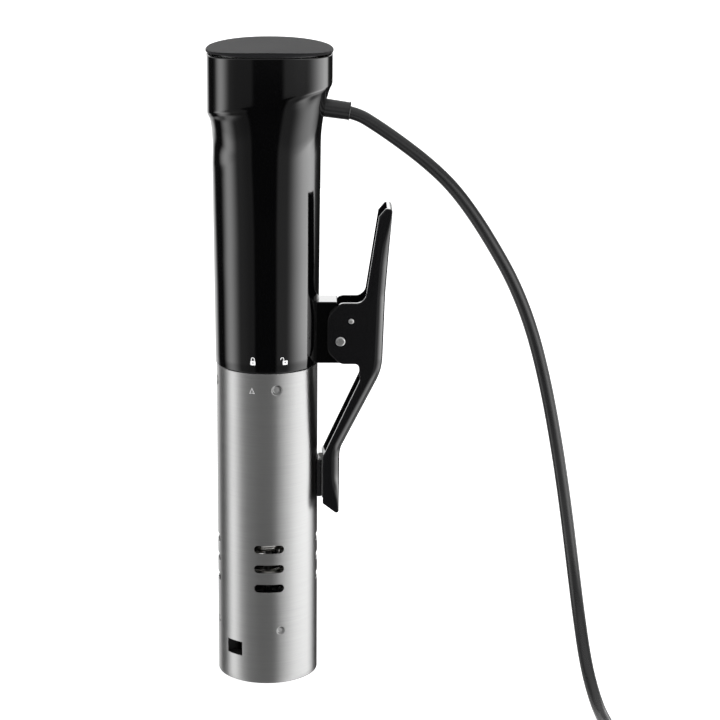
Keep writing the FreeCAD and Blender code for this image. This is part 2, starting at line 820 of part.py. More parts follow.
def pivot_pin():
    """Steel pivot with a turned head at each end."""
    pin = Part.makeCylinder(pivot_radius, 2 * (lever_half + 0.5),
                            V(pivot_x, -lever_half - 0.5, pivot_z), V(0, 1, 0))
    return pin.makeFillet(0.4, [edge for edge in pin.Edges if edge.Closed])


def torsion_spring():
    """Spring round the pivot: one leg on the bracket, one on the lever's pin."""
    pivot = V(pivot_x, 0, pivot_z)
    ring = pivot_radius + 2.1
    outer = Part.makeCylinder(ring, 7.6, V(pivot_x, -3.8, pivot_z), V(0, 1, 0))
    inner = Part.makeCylinder(pivot_radius + 0.4, 9, V(pivot_x, -4.5, pivot_z), V(0, 1, 0))
    upper = rod(pivot + V(1.0 - ring, -2.6, 1.5),
                V(stop_pin_x - 3.4, -2.6, stop_pin_z + 3.0), 0.8)
    lower = rod(pivot + V(1.0, 2.6, 0.9 - ring),
                V(screw_reach + 1.4, 2.6, pivot_z + 0.9 - ring), 0.8)
    return joined([outer, upper, lower]).cut(inner)


# corners of the lever's side and of its channel, measured from the pivot, and their radii
lever_corners = (
    (-10.1, -71.4, 2.0), (11.7, -23.9, 5.0), (10.9, -13.8, 2.5), (0.0, -13.8, 6.0),
    (-7.7, -6.4, 8.0), (-7.7, 15.1, 10.0), (0.0, 23.2, 5.0), (14.3, 23.2, 6.0),
    (22.1, 75.0, 0.6), (26.2, 79.9, 1.0), (30.1, 79.4, 1.5), (26.3, 27.6, 60.0),
    (24.8, -18.4, 14.0), (-0.1, -67.9, 12.0), (-0.4, -107.8, 1.5), (-10.1, -100.4, 0.6),
)
channel_corners = (
    (-23.3, -70.9, 0), (-2.8, -70.9, 1.5), (-2.7, -67.2, 10.0), (22.3, -17.8, 12.0),
    (23.7, 27.8, 60.0), (27.5, 91.6, 0), (-23.3, 91.6, 0),
)


def from_pivot(corners):
    """Rounded outline from corners measured from the pivot."""
    points = [(pivot_x + x, pivot_z + z) for x, z, radius in corners]
    return rounded(points, [radius for x, z, radius in corners])


def clamp_lever():
    """Channel-section lever: handle above the pivot, slanted arm and jaw below it."""
    body = across(from_pivot(lever_corners), lever_half)
    body = body.cut(across(from_pivot(channel_corners), lever_half - lever_wall))
    for x, z, radius in ((pivot_x, pivot_z, pivot_radius + running_clearance),
                         (stop_pin_x, stop_pin_z, stop_pin_radius)):
        body = body.cut(Part.makeCylinder(radius, 40, V(x, -20, z), V(0, 1, 0)))
    return body


def spring_pin():
    """Pin across the lever that takes the spring's leg."""
    return Part.makeCylinder(stop_pin_radius, 2 * (lever_half + 0.3),
                             V(stop_pin_x, -lever_half - 0.3, stop_pin_z), V(0, 1, 0))


def pad_plate():
    """Steel backing plate of the grip pad."""
    return box(jaw_face - pad_plate_thickness, jaw_face, -pad_half, pad_half,
               pad_low - 0.5, pad_high + 4.5)


def grip_pad():
    """Rubber pad, hollowed to the skirt's girth."""
    pad = box(skirt_radius - 6, jaw_face - pad_plate_thickness, -pad_half, pad_half, pad_low,
              pad_high)
    return pad.cut(cylinder(skirt_radius + soft_gap, 0, housing_top))


# ---------------------------------------------------------------- cord
def cord_boot():
    """Strain relief through the housing's side, with a flange inside."""
    sleeve = rod(boot_axis(boot_inner_x), boot_axis(boot_outer_x), boot_radius)
    flange = rod(boot_axis(boot_inner_x - 2.5), boot_axis(boot_inner_x + 2.0), boot_radius + 1.6)
    bore = rod(boot_axis(boot_inner_x - 6), boot_axis(boot_outer_x + 4),
               cord_radius + running_clearance)
    mouth = Part.makeCone(cord_radius + running_clearance, cord_radius + 1.2, 8.0,
                          boot_axis(boot_outer_x - 7.0), boot_axis(boot_outer_x) - boot_axis(0))
    return joined([sleeve, flange]).cut(bore).cut(mouth)


ROUTE = [boot_axis(34.0), boot_axis(51.0), V(64.0, 0, 335.0), V(78.0, 0, 325.3),
         V(93.0, 0, 313.8), V(107.5, 0, 300.4), V(120.5, 0, 283.6), V(133.0, 0, 264.0),
         V(145.5, 0, 242.0), V(156.5, 0, 215.0), V(165.5, 0, 182.0), V(173.0, -3, 145.0),
         V(179.0, -8, 108.0), V(183.5, -17, 73.0), V(187.0, -31, 43.0), V(190.0, -52, 19.0),
         V(194.0, -78, 5.6), V(197.5, -103, 3.9), V(199.4, -128, 3.9), V(200.0, -152, 3.9)]
PLUG_ROUTE = [V(160, -211.0, 10.4), V(141, -212.4, 11.2), V(122, -214.0, 17.6),
              V(101, -214.4, 18.4)]


def tangent_path(points, share=0.45):
    """Straight runs joined by tangent arcs; returns the wire, its length and its radii."""
    edges, radii = [], []
    here = points[0]
    for before, corner, after in zip(points, points[1:], points[2:]):
        back = before - corner
        ahead = after - corner
        shorter = min(back.Length, ahead.Length)
        back.normalize()
        ahead.normalize()
        half_turn = (math.pi - math.acos(back.dot(ahead))) / 2.0
        reach = share * shorter
        radius = reach / math.tan(half_turn)
        middle = (back + ahead).normalize() * (radius / math.cos(half_turn) - radius)
        start, end = corner + back * reach, corner + ahead * reach
        edges.append(Part.LineSegment(here, start).toShape())
        edges.append(Part.Arc(start, corner + middle, end).toShape())
        radii.append(radius)
        here = end
    edges.append(Part.LineSegment(here, points[-1]).toShape())
    wire = Part.Wire(edges)
    return wire, wire.Length, radii


def swept(points, radius):
    """Round cord along a path of runs and arcs."""
    wire, length, radii = tangent_path(points)
    direction = points[1] - points[0]
    ring = Part.Wire(Part.Circle(points[0], direction, radius).toShape())
    solid = wire.makePipeShell([ring], True, False)
    ideal = math.pi * radius ** 2 * length
    print("cord %.1f mm, volume ratio %.4f, radii %s" % (
        length, solid.Volume / ideal, " ".join("%.0f" % value for value in radii)))
    return solid


def power_cord():
    """Free stretch of the cord, from the strain relief to the coil on the counter."""
    return swept(ROUTE, cord_radius)


def plug_lead():
    """Short stretch of the cord between the coil and the plug."""
    return swept(PLUG_ROUTE, cord_radius)


def cord_coil():
    """Coil of the spare length, lying on the counter."""
    return Part.makeTorus(coil_ring, coil_section, V(coil_centre[0], coil_centre[1],
                                                     coil_height))


def cord_tie():
    """Strap round the coil."""
    spot = V(coil_centre[0] - coil_ring, coil_centre[1], coil_height)
    outer = Part.makeCylinder(coil_section + tie_gap + tie_thickness, 10, spot - V(0, 5, 0),
                              V(0, 1, 0))
    inner = Part.makeCylinder(coil_section + tie_gap, 14, spot - V(0, 7, 0), V(0, 1, 0))
    return outer.cut(inner)


def plug_body():
    """Moulded mains plug lying on its side."""
    face = V(plug_end[0] - plug_length, plug_end[1], plug_end[2])
    disc = rod(face, face + V(14, 0, 0), plug_radius)
    cone = Part.makeCone(plug_radius - 1, cord_radius + 2.5, plug_length - 14,
                         face + V(14, 0, 0), V(1, 0, 0))
    sleeve = rod(V(*plug_end) - V(6, 0, 0), V(*plug_end) + V(8, 0, 0), cord_radius + 2.0)
    bore = rod(V(*plug_end) - V(3, 0, 0), V(*plug_end) + V(9, 0, 0), cord_radius + 0.7)
    body = joined([disc, cone, sleeve]).cut(bore)
    for side in (-1, 1):
        root = face + V(0, side * pin_spacing / 2.0, 0)
        body = body.cut(rod(root - V(1, 0, 0), root + V(9, 0, 0), pin_radius))
    return body


def plug_pins():
    """Two round pins with rounded tips."""
    pins = []
    for side in (-1, 1):
        root = V(plug_end[0] - plug_length, plug_end[1] + side * pin_spacing / 2.0, plug_end[2])
        shank = rod(root + V(9, 0, 0), root - V(pin_length - pin_radius, 0, 0), pin_radius)
        pins.append(shank.fuse(Part.makeSphere(pin_radius,
                                               root - V(pin_length - pin_radius, 0, 0))))
    return Part.Compound(pins)


PARTS = {
    "housing_shell": housing_shell, "spine_cover": spine_cover, "top_panel": top_panel,
    "panel_gasket": panel_gasket, "display_board": display_board,
    "display_carrier": display_carrier, "display_module": display_module,
    "inner_frame": inner_frame, "power_board": power_board, "capacitors": capacitors,
    "transformer": transformer, "relay": relay, "terminal_block": terminal_block,
    "heat_sink": heat_sink, "motor_plate": motor_plate, "motor_screws": motor_screws,
    "motor_case": motor_case, "motor_end_cap": motor_end_cap, "motor_magnets": motor_magnets,
    "motor_bearings": motor_bearings, "motor_rotor": motor_rotor, "cooling_fan": cooling_fan,
    "drive_shaft": drive_shaft, "shaft_coupling": shaft_coupling, "impeller": impeller,
    "retaining_clip": retaining_clip, "bayonet_collar": bayonet_collar,
    "mounting_disc": mounting_disc, "disc_seal": disc_seal, "shaft_seal": shaft_seal,
    "heater_coil": heater_coil, "temperature_probe": temperature_probe,
    "level_electrodes": level_electrodes, "pump_rods": pump_rods, "rod_nuts": rod_nuts,
    "bearing_plate": bearing_plate, "lower_bush": lower_bush, "steel_skirt": steel_skirt,
    "base_cap": base_cap, "pump_volute": pump_volute, "clamp_bracket": clamp_bracket,
    "bracket_screws": bracket_screws, "pivot_pin": pivot_pin, "torsion_spring": torsion_spring,
    "clamp_lever": clamp_lever, "spring_pin": spring_pin, "pad_plate": pad_plate,
    "grip_pad": grip_pad, "cord_boot": cord_boot, "power_cord": power_cord,
    "cord_coil": cord_coil, "cord_tie": cord_tie, "plug_lead": plug_lead,
    "plug_body": plug_body, "plug_pins": plug_pins,
}

os.makedirs("parts", exist_ok=True)
for name, make in PARTS.items():
    shape = make()
    print("%-18s solids %d valid %s volume %.0f" % (name, len(shape.Solids), shape.isValid(),
                                                    shape.Volume))
    shape.exportStep("parts/" + name + ".step")
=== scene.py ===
# %% [markdown]
# # Sous vide circulator
# The object is a slim stick: a gloss black housing with an oval head, a matt touch panel on
# top, a brushed steel skirt below, a sprung clamp lever at the side and a mains lead.
# Its inner parts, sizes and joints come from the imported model.  This notebook gives every
# visible surface its final shape and finish.  Lengths are in millimetres until a mesh or a
# material is made, and X points towards the cord, Y to the back and Z up.

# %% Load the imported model
import bmesh
import bpy
import json
import math
import numpy as np
from mathutils import Matrix, Vector


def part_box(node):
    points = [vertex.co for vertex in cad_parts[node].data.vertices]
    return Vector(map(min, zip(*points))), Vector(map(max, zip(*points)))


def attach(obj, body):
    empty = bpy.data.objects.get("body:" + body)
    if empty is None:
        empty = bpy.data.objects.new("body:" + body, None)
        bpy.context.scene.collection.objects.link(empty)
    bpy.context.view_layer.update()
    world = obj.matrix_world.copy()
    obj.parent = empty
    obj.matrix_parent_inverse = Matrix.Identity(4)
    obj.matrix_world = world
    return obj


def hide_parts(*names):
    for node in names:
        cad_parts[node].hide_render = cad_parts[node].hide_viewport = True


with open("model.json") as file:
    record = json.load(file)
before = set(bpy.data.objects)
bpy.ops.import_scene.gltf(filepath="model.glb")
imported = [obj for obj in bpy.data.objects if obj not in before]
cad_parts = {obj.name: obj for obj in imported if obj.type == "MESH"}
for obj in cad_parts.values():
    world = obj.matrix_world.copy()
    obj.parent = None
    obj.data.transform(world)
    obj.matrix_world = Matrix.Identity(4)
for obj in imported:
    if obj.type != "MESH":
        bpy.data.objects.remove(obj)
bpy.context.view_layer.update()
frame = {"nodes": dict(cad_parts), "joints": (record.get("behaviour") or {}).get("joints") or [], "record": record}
MM = 0.001

# %% [markdown]
# ## The camera
# A long lens from a little over a metre away keeps the stick's sides almost parallel, while
# the ellipses still open towards the foot.  It looks down by about fifteen degrees.

# %% Camera
camera_data = bpy.data.cameras.new("camera")
camera_data.sensor_width = 36.0
camera_data.lens = 122.2
camera = bpy.data.objects.new("camera", camera_data)
bpy.context.scene.collection.objects.link(camera)
bpy.context.scene.camera = camera


def aim(obj, place, tilt, pan, roll):
    """Stand an object at a place and turn it: tilt below the horizon, pan to the right, roll.

    It looks along (sin pan cos tilt, cos pan cos tilt, -sin tilt)."""
    forward = Vector((math.sin(pan) * math.cos(tilt), math.cos(pan) * math.cos(tilt),
                      -math.sin(tilt)))
    turn = forward.to_track_quat("-Z", "Y").to_matrix()
    obj.location = place
    obj.rotation_euler = (turn @ Matrix.Rotation(roll, 3, "Z")).to_euler()


# The place is in metres, the angles are in degrees.
camera_place = (0.0261, -1.400, 0.5806)
camera_tilt, camera_pan, camera_roll = 15.427, 1.19, 0.448
aim(camera, camera_place, math.radians(camera_tilt), math.radians(camera_pan),
    math.radians(camera_roll))
print("lens", camera_data.lens)

# %% [markdown]
# ## Surfaces on a grid
# Most new pieces are a grid of points, worked out at once with numpy from two parameters.
# Modelling them by hand would be quicker once, but a formula can be changed and read.  A
# helper turns such a grid into a mesh: each row is a ring, and the first and last rows are
# joined to each other or closed.  Then all faces are turned outwards.

# %% Grid helpers


def mesh_piece(name, points, faces):
    """Smooth-shaded mesh object at the origin, from points in millimetres and a face list."""
    mesh = bpy.data.meshes.new(name)
    mesh.from_pydata((np.asarray(points, float).reshape(-1, 3) * MM).tolist(), [],
                     [list(map(int, face)) for face in faces])
    mesh.polygons.foreach_set("use_smooth", np.ones(len(mesh.polygons), bool))
    mesh.update()
    piece = bpy.data.objects.new(name, mesh)
    bpy.context.scene.collection.objects.link(piece)
    return piece


def edited(piece, *operations):
    """Run bmesh operations on a piece: each is a function of the open mesh."""
    work = bmesh.new()
    work.from_mesh(piece.data)
    for operation in operations:
        operation(work)
    work.to_mesh(piece.data)
    work.free()
    piece.data.update()
    return piece


def outwards(work):
    """Turn every face of a closed mesh outwards."""
    bmesh.ops.recalc_face_normals(work, faces=work.faces)


def grid_faces(rows, columns, around=False, along=False):
    """Quads between neighbouring rows and columns; around and along join the grid's ends.

    The point of row i and column j has the number i columns + j."""
    i = np.arange(rows if along else rows - 1)
    j = np.arange(columns if around else columns - 1)
    i, j = np.meshgrid(i, j, indexing="ij")
    below, beside = (i + 1) % rows, (j + 1) % columns
    quads = np.stack([i * columns + j, i * columns + beside, below * columns + beside,
                      below * columns + j], axis=-1)
    return quads.reshape(-1, 4)


def grid_piece(name, points, along=False, caps=False):
    """Closed piece from an array of points [row, column, xyz], with each row a ring.

    Its end rows are joined to each other by along, or closed by caps."""
    rows, columns = points.shape[:2]
    faces = [tuple(face) for face in grid_faces(rows, columns, True, along)]
    if caps:
        faces += [tuple(range(columns)), tuple(range((rows - 1) * columns, rows * columns))]
    return edited(mesh_piece(name, points, faces), outwards)


def crisp(piece, degrees=30.0):
    """Keep edges that turn more than an angle crisp, and shade the rest smooth."""
    piece.data.polygons.foreach_set("use_smooth", np.ones(len(piece.data.polygons), bool))
    piece.data.set_sharp_from_angle(angle=math.radians(degrees))
    return piece


def applied(piece):
    """Write a piece's modifiers into its mesh."""
    graph = bpy.context.evaluated_depsgraph_get()
    result = bpy.data.meshes.new_from_object(piece.evaluated_get(graph))
    piece.modifiers.clear()
    old = piece.data
    piece.data = result
    bpy.data.meshes.remove(old)
    result.name = piece.name
    return piece


def cut(piece, cutter, operation="DIFFERENCE"):
    """Boolean of two closed meshes, written into the first; the second is used up."""
    added = piece.modifiers.new("cut", "BOOLEAN")
    added.operation = operation
    added.solver = "EXACT"
    added.object = cutter
    applied(piece)
    bpy.data.meshes.remove(cutter.data)
    return piece


def finish_piece(piece, body, slot, material, *nodes):
    """Let a piece ride a body, stand for CAD nodes, and wear a finish."""
    piece.data.materials.clear()
    piece.data.materials.append(material)
    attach(piece, body)
    if nodes:
        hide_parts(*nodes)
    return piece


print("grid helpers ready")

# %% [markdown]
# ## Driving sizes
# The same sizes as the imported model's, in millimetres.  What can be read from the model is
# read from it, so the new surfaces follow it; the rest is shape, which no node's box tells.
# The shoulder's crease and the dip of the top are the real stick's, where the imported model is
# plainer.

# %% Sizes
skirt_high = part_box("steel_skirt")[1][2] / MM
housing_low, housing_high = [corner[2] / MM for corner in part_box("housing_shell")]
panel_low, panel_high = [corner[2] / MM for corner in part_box("top_panel")]
lever_joint = next(joint for joint in frame["joints"] if joint["name"] == "lever_swing")
pivot_x, _, pivot_z = [value / MM for value in lever_joint["pos_m"]]
skirt_radius, skirt_wall = 30.0, 0.6
housing_base, housing_neck, wall = skirt_radius + 0.5, skirt_radius + 1.6, 2.4
head_x, head_y, head_shift, head_power = 36.3, 34.6, 1.9, 2.4
shoulder, shoulder_drop, slope = housing_high - 27.6, 29.8, 0.242
top_dip = 1.4
lever_half, lever_wall = 11.2, 2.2
bracket_half = lever_half - lever_wall - 0.3
print("skirt top", skirt_high, "housing", housing_low, housing_high, "pivot", pivot_x, pivot_z)

# %% [markdown]
# ## The mains lead
# A three-core lead, 7.6 mm thick and about 1.1 m long, leaves the strain relief under the
# head, arcs out and hangs down to the counter.  The rest of it is wound up for storage in
# front of the stick, with its plug beside it.  A grid of rings could make it too, but one
# NURBS spline with a round bevel bends like one piece of rubber, and can be measured.

# %% Lead's route
cord_radius = 3.8
boot_inner, boot_end = 25.0, 48.3
boot_height, boot_fall = housing_high - 35.3, 0.14


def boot_axis(x):
    """Point on the strain relief's axis: height = height at its mouth + fall (mouth - x)."""
    return (x, 0.0, boot_height + boot_fall * (boot_end - x))


free_route = [boot_axis(34.0), boot_axis(51.0), (64.0, 0, 335.0), (78.0, 0, 325.3),
              (93.0, 0, 313.8), (107.5, 0, 300.4), (120.5, 0, 283.6), (133.0, 0, 264.0),
              (145.5, 0, 242.0), (156.5, 0, 215.0), (165.5, 0, 182.0), (173.0, -3, 145.0),
              (179.0, -8, 108.0), (183.5, -17, 73.0), (187.0, -31, 43.0), (190.0, -52, 19.0),
              (194.0, -78, 5.6), (197.5, -103, 3.9), (199.4, -128, 3.9), (200.0, -152, 3.9)]
plug_route = [(160, -211.0, 10.4), (141, -212.4, 11.2), (122, -214.0, 17.6),
              (101, -214.4, 18.4)]
coil_x, coil_y, coil_radius = 155.0, -170.0, 41.0
lay_height = cord_radius + 0.1
tie_lift, layer_height = 1.1, 6.6

# The first turn is the outer one, the second lies inside it and the third on top of both:
# radius = middle + half a cord (1 - 2 second + third), where second and third are the shares
# of each step that are done.  A bell of the angle lifts all of them over the tie.
turn_angle = np.radians(np.arange(-8, -798, -20.0))
turns_done = -turn_angle / (2 * math.pi)
second = np.clip((turns_done - 0.85) / 0.15, 0, 1)
third = np.clip((turns_done - 1.95) / 0.12, 0, 1)
turn_radius = coil_radius + lay_height * (1 - 2 * second + third)
lift = np.exp(-(((np.degrees(turn_angle) % 360) - 180) / 30.0) ** 2)
coil_points = np.stack([coil_x + turn_radius * np.cos(turn_angle),
                        coil_y + turn_radius * np.sin(turn_angle),
                        lay_height + tie_lift * lift + layer_height * third], axis=1)
lead_points = np.concatenate([np.array(free_route), coil_points, np.array(plug_route)]) * MM
print("lead points:", len(lead_points), "turns:", turns_done.max())

# %% Lead
curve = bpy.data.curves.new("mains_lead", "CURVE")
curve.dimensions = "3D"
spline = curve.splines.new("NURBS")
spline.points.add(len(lead_points) - 1)
spline.points.foreach_set("co", np.column_stack([lead_points,
                                                 np.ones(len(lead_points))]).ravel())
spline.order_u = 3
spline.use_endpoint_u = True
spline.resolution_u = 8


def centreline(curve_data):
    """Points of a curve's own line, as Blender draws it, with no thickness."""
    probe = bpy.data.objects.new("probe", curve_data)
    bpy.context.scene.collection.objects.link(probe)
    line = bpy.data.meshes.new_from_object(probe.evaluated_get(
        bpy.context.evaluated_depsgraph_get()))
    points = np.empty(len(line.vertices) * 3)
    line.vertices.foreach_get("co", points)
    bpy.data.objects.remove(probe)
    bpy.data.meshes.remove(line)
    return points.reshape(-1, 3)


lead_line = centreline(curve)
curve.bevel_depth = cord_radius * MM
curve.bevel_resolution = 6
curve.use_fill_caps = True
lead = bpy.data.objects.new("mains_lead", curve)
lead.visible_glossy = False
bpy.context.scene.collection.objects.link(lead)

# %% [markdown]
# ## Node trees in Python
# A finish is a node tree.  Its maths is easier to read as Python: `Value` wraps a socket, and
# `+`, `-` and `*` on it add Math nodes.  `Nodes.node` adds any other node.  Every pattern reads
# object coordinates, so it stays on its piece when a joint moves.

# %% Node helpers


class Value:
    """A node's output; + - * with another value or a number add Math nodes, in either order."""

    def __init__(self, nodes, socket):
        self.nodes = nodes
        self.socket = socket

    def __add__(self, other):
        return self.nodes.maths("ADD", self, other)

    def __sub__(self, other):
        return self.nodes.maths("SUBTRACT", self, other)

    def __rsub__(self, other):
        return self.nodes.maths("SUBTRACT", other, self)

    def __mul__(self, other):
        return self.nodes.maths("MULTIPLY", self, other)

    __radd__ = __add__
    __rmul__ = __mul__


class Nodes:
    """A node tree, with one method that adds any node and one that joins its sockets."""

    def __init__(self, tree):
        self.tree = tree

    def join(self, node, inputs):
        """Link values to a node's sockets, and set numbers and colours on them."""
        for key, value in inputs.items():
            if isinstance(value, Value):
                self.tree.links.new(value.socket, node.inputs[key])
            else:
                node.inputs[key].default_value = value

    def node(self, kind, settings=None, inputs=None, output=0):
        """Add a node: its settings first, then its sockets; returns one of its outputs."""
        added = self.tree.nodes.new(kind)
        for key, value in (settings or {}).items():
            setattr(added, key, value)
        self.join(added, inputs or {})
        return Value(self, added.outputs[output])

    def maths(self, operation, first, second=0.0):
        """Add one Math node."""
        return self.node("ShaderNodeMath", {"operation": operation}, {0: first, 1: second})

    def step(self, value, start, end):
        """Smooth rise from 0 to 1 while a value goes from start to end."""
        return self.node("ShaderNodeMapRange", {"interpolation_type": "SMOOTHSTEP"},
                         {0: value, 1: start, 2: end})

    def window(self, value, rise_start, rise_end, fall_start, fall_end):
        """1 between two smooth steps, 0 outside them."""
        rise = self.step(value, rise_start, rise_end)
        return rise * (1 - self.step(value, fall_start, fall_end))


class Finish(Nodes):
    """A material with one Principled shader, patterned in object coordinates."""

    def __init__(self, name, **sockets):
        self.material = bpy.data.materials.new(name)
        self.material.use_nodes = True
        super().__init__(self.material.node_tree)
        self.shader = self.tree.nodes["Principled BSDF"]
        self.wear(**sockets)
        self.place = self.node("ShaderNodeTexCoord", output="Object")

    def wear(self, **sockets):
        """Set or link the shader's sockets; an underscore in a name stands for a space."""
        self.join(self.shader, {key.replace("_", " "): value for key, value in sockets.items()})

    def noise(self, scale, detail=3.0, stretch=(1, 1, 1)):
        """Noise of a number of features a metre, drawn out by a stretch along X, Y and Z."""
        squeezed = [scale / part for part in stretch]
        spot = self.node("ShaderNodeMapping", inputs={"Vector": self.place, "Scale": squeezed})
        return self.node("ShaderNodeTexNoise", inputs={"Vector": spot, "Scale": 1.0,
                                                       "Detail": detail})

    def blend(self, share, first, second):
        """Mix of two colours: the first where the share is 0, the second where it is 1."""
        return self.node("ShaderNodeMix", {"data_type": "RGBA"},
                         {0: share, 6: (*first, 1), 7: (*second, 1)}, output=2)

    def relief(self, height, depth):
        """Bump: a height of 0 to 1, times a depth in millimetres."""
        bump = self.node("ShaderNodeBump", inputs={"Strength": 1.0, "Distance": depth * MM,
                                                   "Height": height})
        self.wear(Normal=bump)


print("node helpers ready")

# %% [markdown]
# ## Gloss black
# The housing and the clamp are moulded in black ABS with a polished tool.  Such a surface is
# almost a mirror: what shows is the shine, a faint waviness from the mould and a haze where
# fingers wiped it.  A flat roughness would look like a drawing, so noise makes it drift.

# %% Gloss black


def gloss_black(name, dark, light, roughness):
    """Polished black plastic: faint long waves, and roughness that drifts a little."""
    look = Finish(name, IOR=1.5)
    haze = look.noise(38.0, 4.0)
    specks = look.noise(900.0, 2.0)
    look.wear(Base_Color=look.blend(haze, dark, light),
              Roughness=roughness + 0.05 * haze + 0.015 * specks)
    look.relief(look.noise(55.0, 1.0), 0.012)
    return look.material


print("gloss black ready")

# %% [markdown]
# ## Brushed steel
# The skirt was ground round and round, so its scratches are long along the girth and very
# fine along the height.  Noise that is squeezed along Z gives them; they change the colour a
# little, the roughness more, and they tilt the surface up and down.  A constant anisotropy
# spreads the shine across the scratches.

# %% Brushed steel


def brushed_steel():
    """Stainless sheet, ground along its girth: two sizes of scratch."""
    look = Finish("brushed_steel", Metallic=1.0, Anisotropic=0.75, Anisotropic_Rotation=0.25)
    fine = look.noise(60.0, 2.0, (1, 1, 0.016))
    broad = look.noise(28.0, 3.0, (1, 1, 0.03))
    drift = look.noise(9.0, 2.0, (1, 1, 0.6))
    scratch = fine * 0.55 + broad * 0.45
    look.wear(Base_Color=look.blend(scratch, (0.28, 0.28, 0.28), (0.37, 0.37, 0.367)),
              Roughness=0.24 + 0.14 * scratch + 0.06 * drift)
    look.relief(scratch, 0.006)
    return look.material


print("brushed steel ready")

# %% [markdown]
# ## Matt black, rubber and printed marks
# The touch panel has a fine spark-eroded grain that takes almost all of its shine.  The lead
# and its boot are smooth rubber with a soft shine and a faint bloom.  The lock marks are
# white ink with a faint painted glow; the arrow on the skirt is etched.

# %% Matt finishes


def matt_black():
    """Black plastic with a fine grain that scatters the light."""
    look = Finish("matt_black", Specular_IOR_Level=0.08)
    grain = look.noise(5200.0, 2.0)
    cloud = look.noise(45.0, 3.0)
    look.wear(Base_Color=look.blend(cloud, (0.011, 0.011, 0.012), (0.015, 0.015, 0.016)),
              Roughness=0.50 + 0.10 * grain + 0.04 * cloud)
    look.relief(grain, 0.010)
    return look.material


def rubber():
    """Smooth black rubber: a soft shine, with a faint bloom in patches."""
    look = Finish("rubber", Specular_IOR_Level=0.5)
    bloom = look.noise(70.0, 4.0)
    grain = look.noise(2600.0, 2.0)
    look.wear(Base_Color=look.blend(bloom, (0.007, 0.007, 0.0075), (0.014, 0.014, 0.0145)),
              Roughness=0.20 + 0.10 * bloom + 0.06 * grain)
    look.relief(grain, 0.02)
    return look.material


def white_ink_with_painted_glow():
    """Pad-printed white, a little uneven in thickness, and given a faint painted glow."""
    # The white emission is a painted glow: the ink gives off a little light of its own.
    look = Finish("white_ink_with_painted_glow", Emission_Strength=0.10, Emission_Color=(1, 1, 1, 1))
    cover = look.noise(900.0, 2.0)
    look.wear(Base_Color=look.blend(cover, (0.86, 0.86, 0.86), (0.95, 0.95, 0.95)),
              Roughness=0.42 + 0.1 * cover)
    return look.material


def etched_steel():
    """Steel that an acid left grey and dull."""
    look = Finish("etched_steel", Metallic=0.9)
    pits = look.noise(4000.0, 3.0)
    look.wear(Base_Color=look.blend(pits, (0.62, 0.62, 0.62), (0.80, 0.80, 0.80)),
              Roughness=0.5 + 0.15 * pits)
    return look.material


print("matt finishes ready")

# %% [markdown]
# ## Finishes of the inner parts
# What shows through the slots, or when the skirt is off, is plainer: moulded plastic, turned
# and drawn metal, boards and ferrite.  One function makes each kind from its colours, its
# roughness and the size of its grain.

# %% Inner finishes


def plain_finish(name, dark, light, roughness, scale, depth, metallic=0.0, stretch=(1, 1, 1)):
    """Finish whose colour and roughness drift between two values with one grain."""
    look = Finish(name, Metallic=metallic)
    grain = look.noise(scale, 3.0, stretch)
    cloud = look.noise(60.0, 3.0)
    look.wear(Base_Color=look.blend(cloud, dark, light),
              Roughness=roughness + 0.12 * grain + 0.05 * cloud)
    look.relief(grain, depth)
    return look.material


finishes = {
    "gloss_black": gloss_black("gloss_black", (0.0006, 0.0006, 0.0007),
                               (0.0012, 0.0012, 0.0014), 0.045),
    "matt_black": matt_black(),
    "brushed": brushed_steel(),
    "rubber": rubber(),
    "steel": plain_finish("turned_steel", (0.50, 0.50, 0.50), (0.66, 0.66, 0.65), 0.22,
                          2400.0, 0.004, 1.0, (1, 1, 0.2)),
    "heater_steel": plain_finish("heater_steel", (0.60, 0.59, 0.56), (0.74, 0.73, 0.70), 0.12,
                                 700.0, 0.004, 1.0),
    "inner_plastic": plain_finish("inner_plastic", (0.022, 0.022, 0.022), (0.034, 0.034, 0.034),
                                  0.48, 3800.0, 0.012),
    "board": plain_finish("board", (0.012, 0.10, 0.045), (0.018, 0.15, 0.065), 0.32, 2200.0,
                          0.006),
    "sink_aluminium": plain_finish("sink_aluminium", (0.52, 0.52, 0.54), (0.64, 0.64, 0.66),
                                   0.34, 1800.0, 0.006, 1.0, (1, 1, 8)),
    "ferrite": plain_finish("ferrite", (0.030, 0.030, 0.034), (0.050, 0.050, 0.055), 0.60,
                            5200.0, 0.02),
    "bronze": plain_finish("bronze", (0.42, 0.26, 0.11), (0.55, 0.37, 0.17), 0.34, 4200.0,
                           0.01, 1.0),
}
white, etched = white_ink_with_painted_glow(), etched_steel()
clamp_black = gloss_black("clamp_black", (0.0045, 0.0045, 0.005), (0.0065, 0.0065, 0.007), 0.09)
node_slot = {row["node"]: row["material_slot"] for row in frame["record"]["subparts"]}
for node_name, node_piece in frame["nodes"].items():
    node_piece.data.materials.clear()
    node_piece.data.materials.append(finishes[node_slot[node_name]])
finish_piece(lead, "housing", "rubber", finishes["rubber"], "power_cord", "cord_coil",
             "plug_lead")
print("finishes:", len(finishes) + 3)

# %% [markdown]
# ## The housing
# The housing is a thin-walled moulding: round at the foot, a little wider at the neck, and
# then drawn out into an oval head.  A soft fold starts the shoulder and a crease, which
# slants up towards the cord, ends it.  Stretching a tube with modifiers could not place both,
# but every level of the wall is an oval, so two parameters describe it all: a profile of
# (level, inset) pairs, up the outside and down the inside, and an angle.

# %% Curves along the height
fine_step = 0.05
fine_levels = np.arange(housing_low - 20, housing_high + 20, fine_step)
bell_reach = np.arange(-6, 6, fine_step)
fold = shoulder - shoulder_drop
rise = np.clip((fine_levels - fold) / shoulder_drop, 0, 1)
taper = (fine_levels - housing_low) / (fold - housing_low)


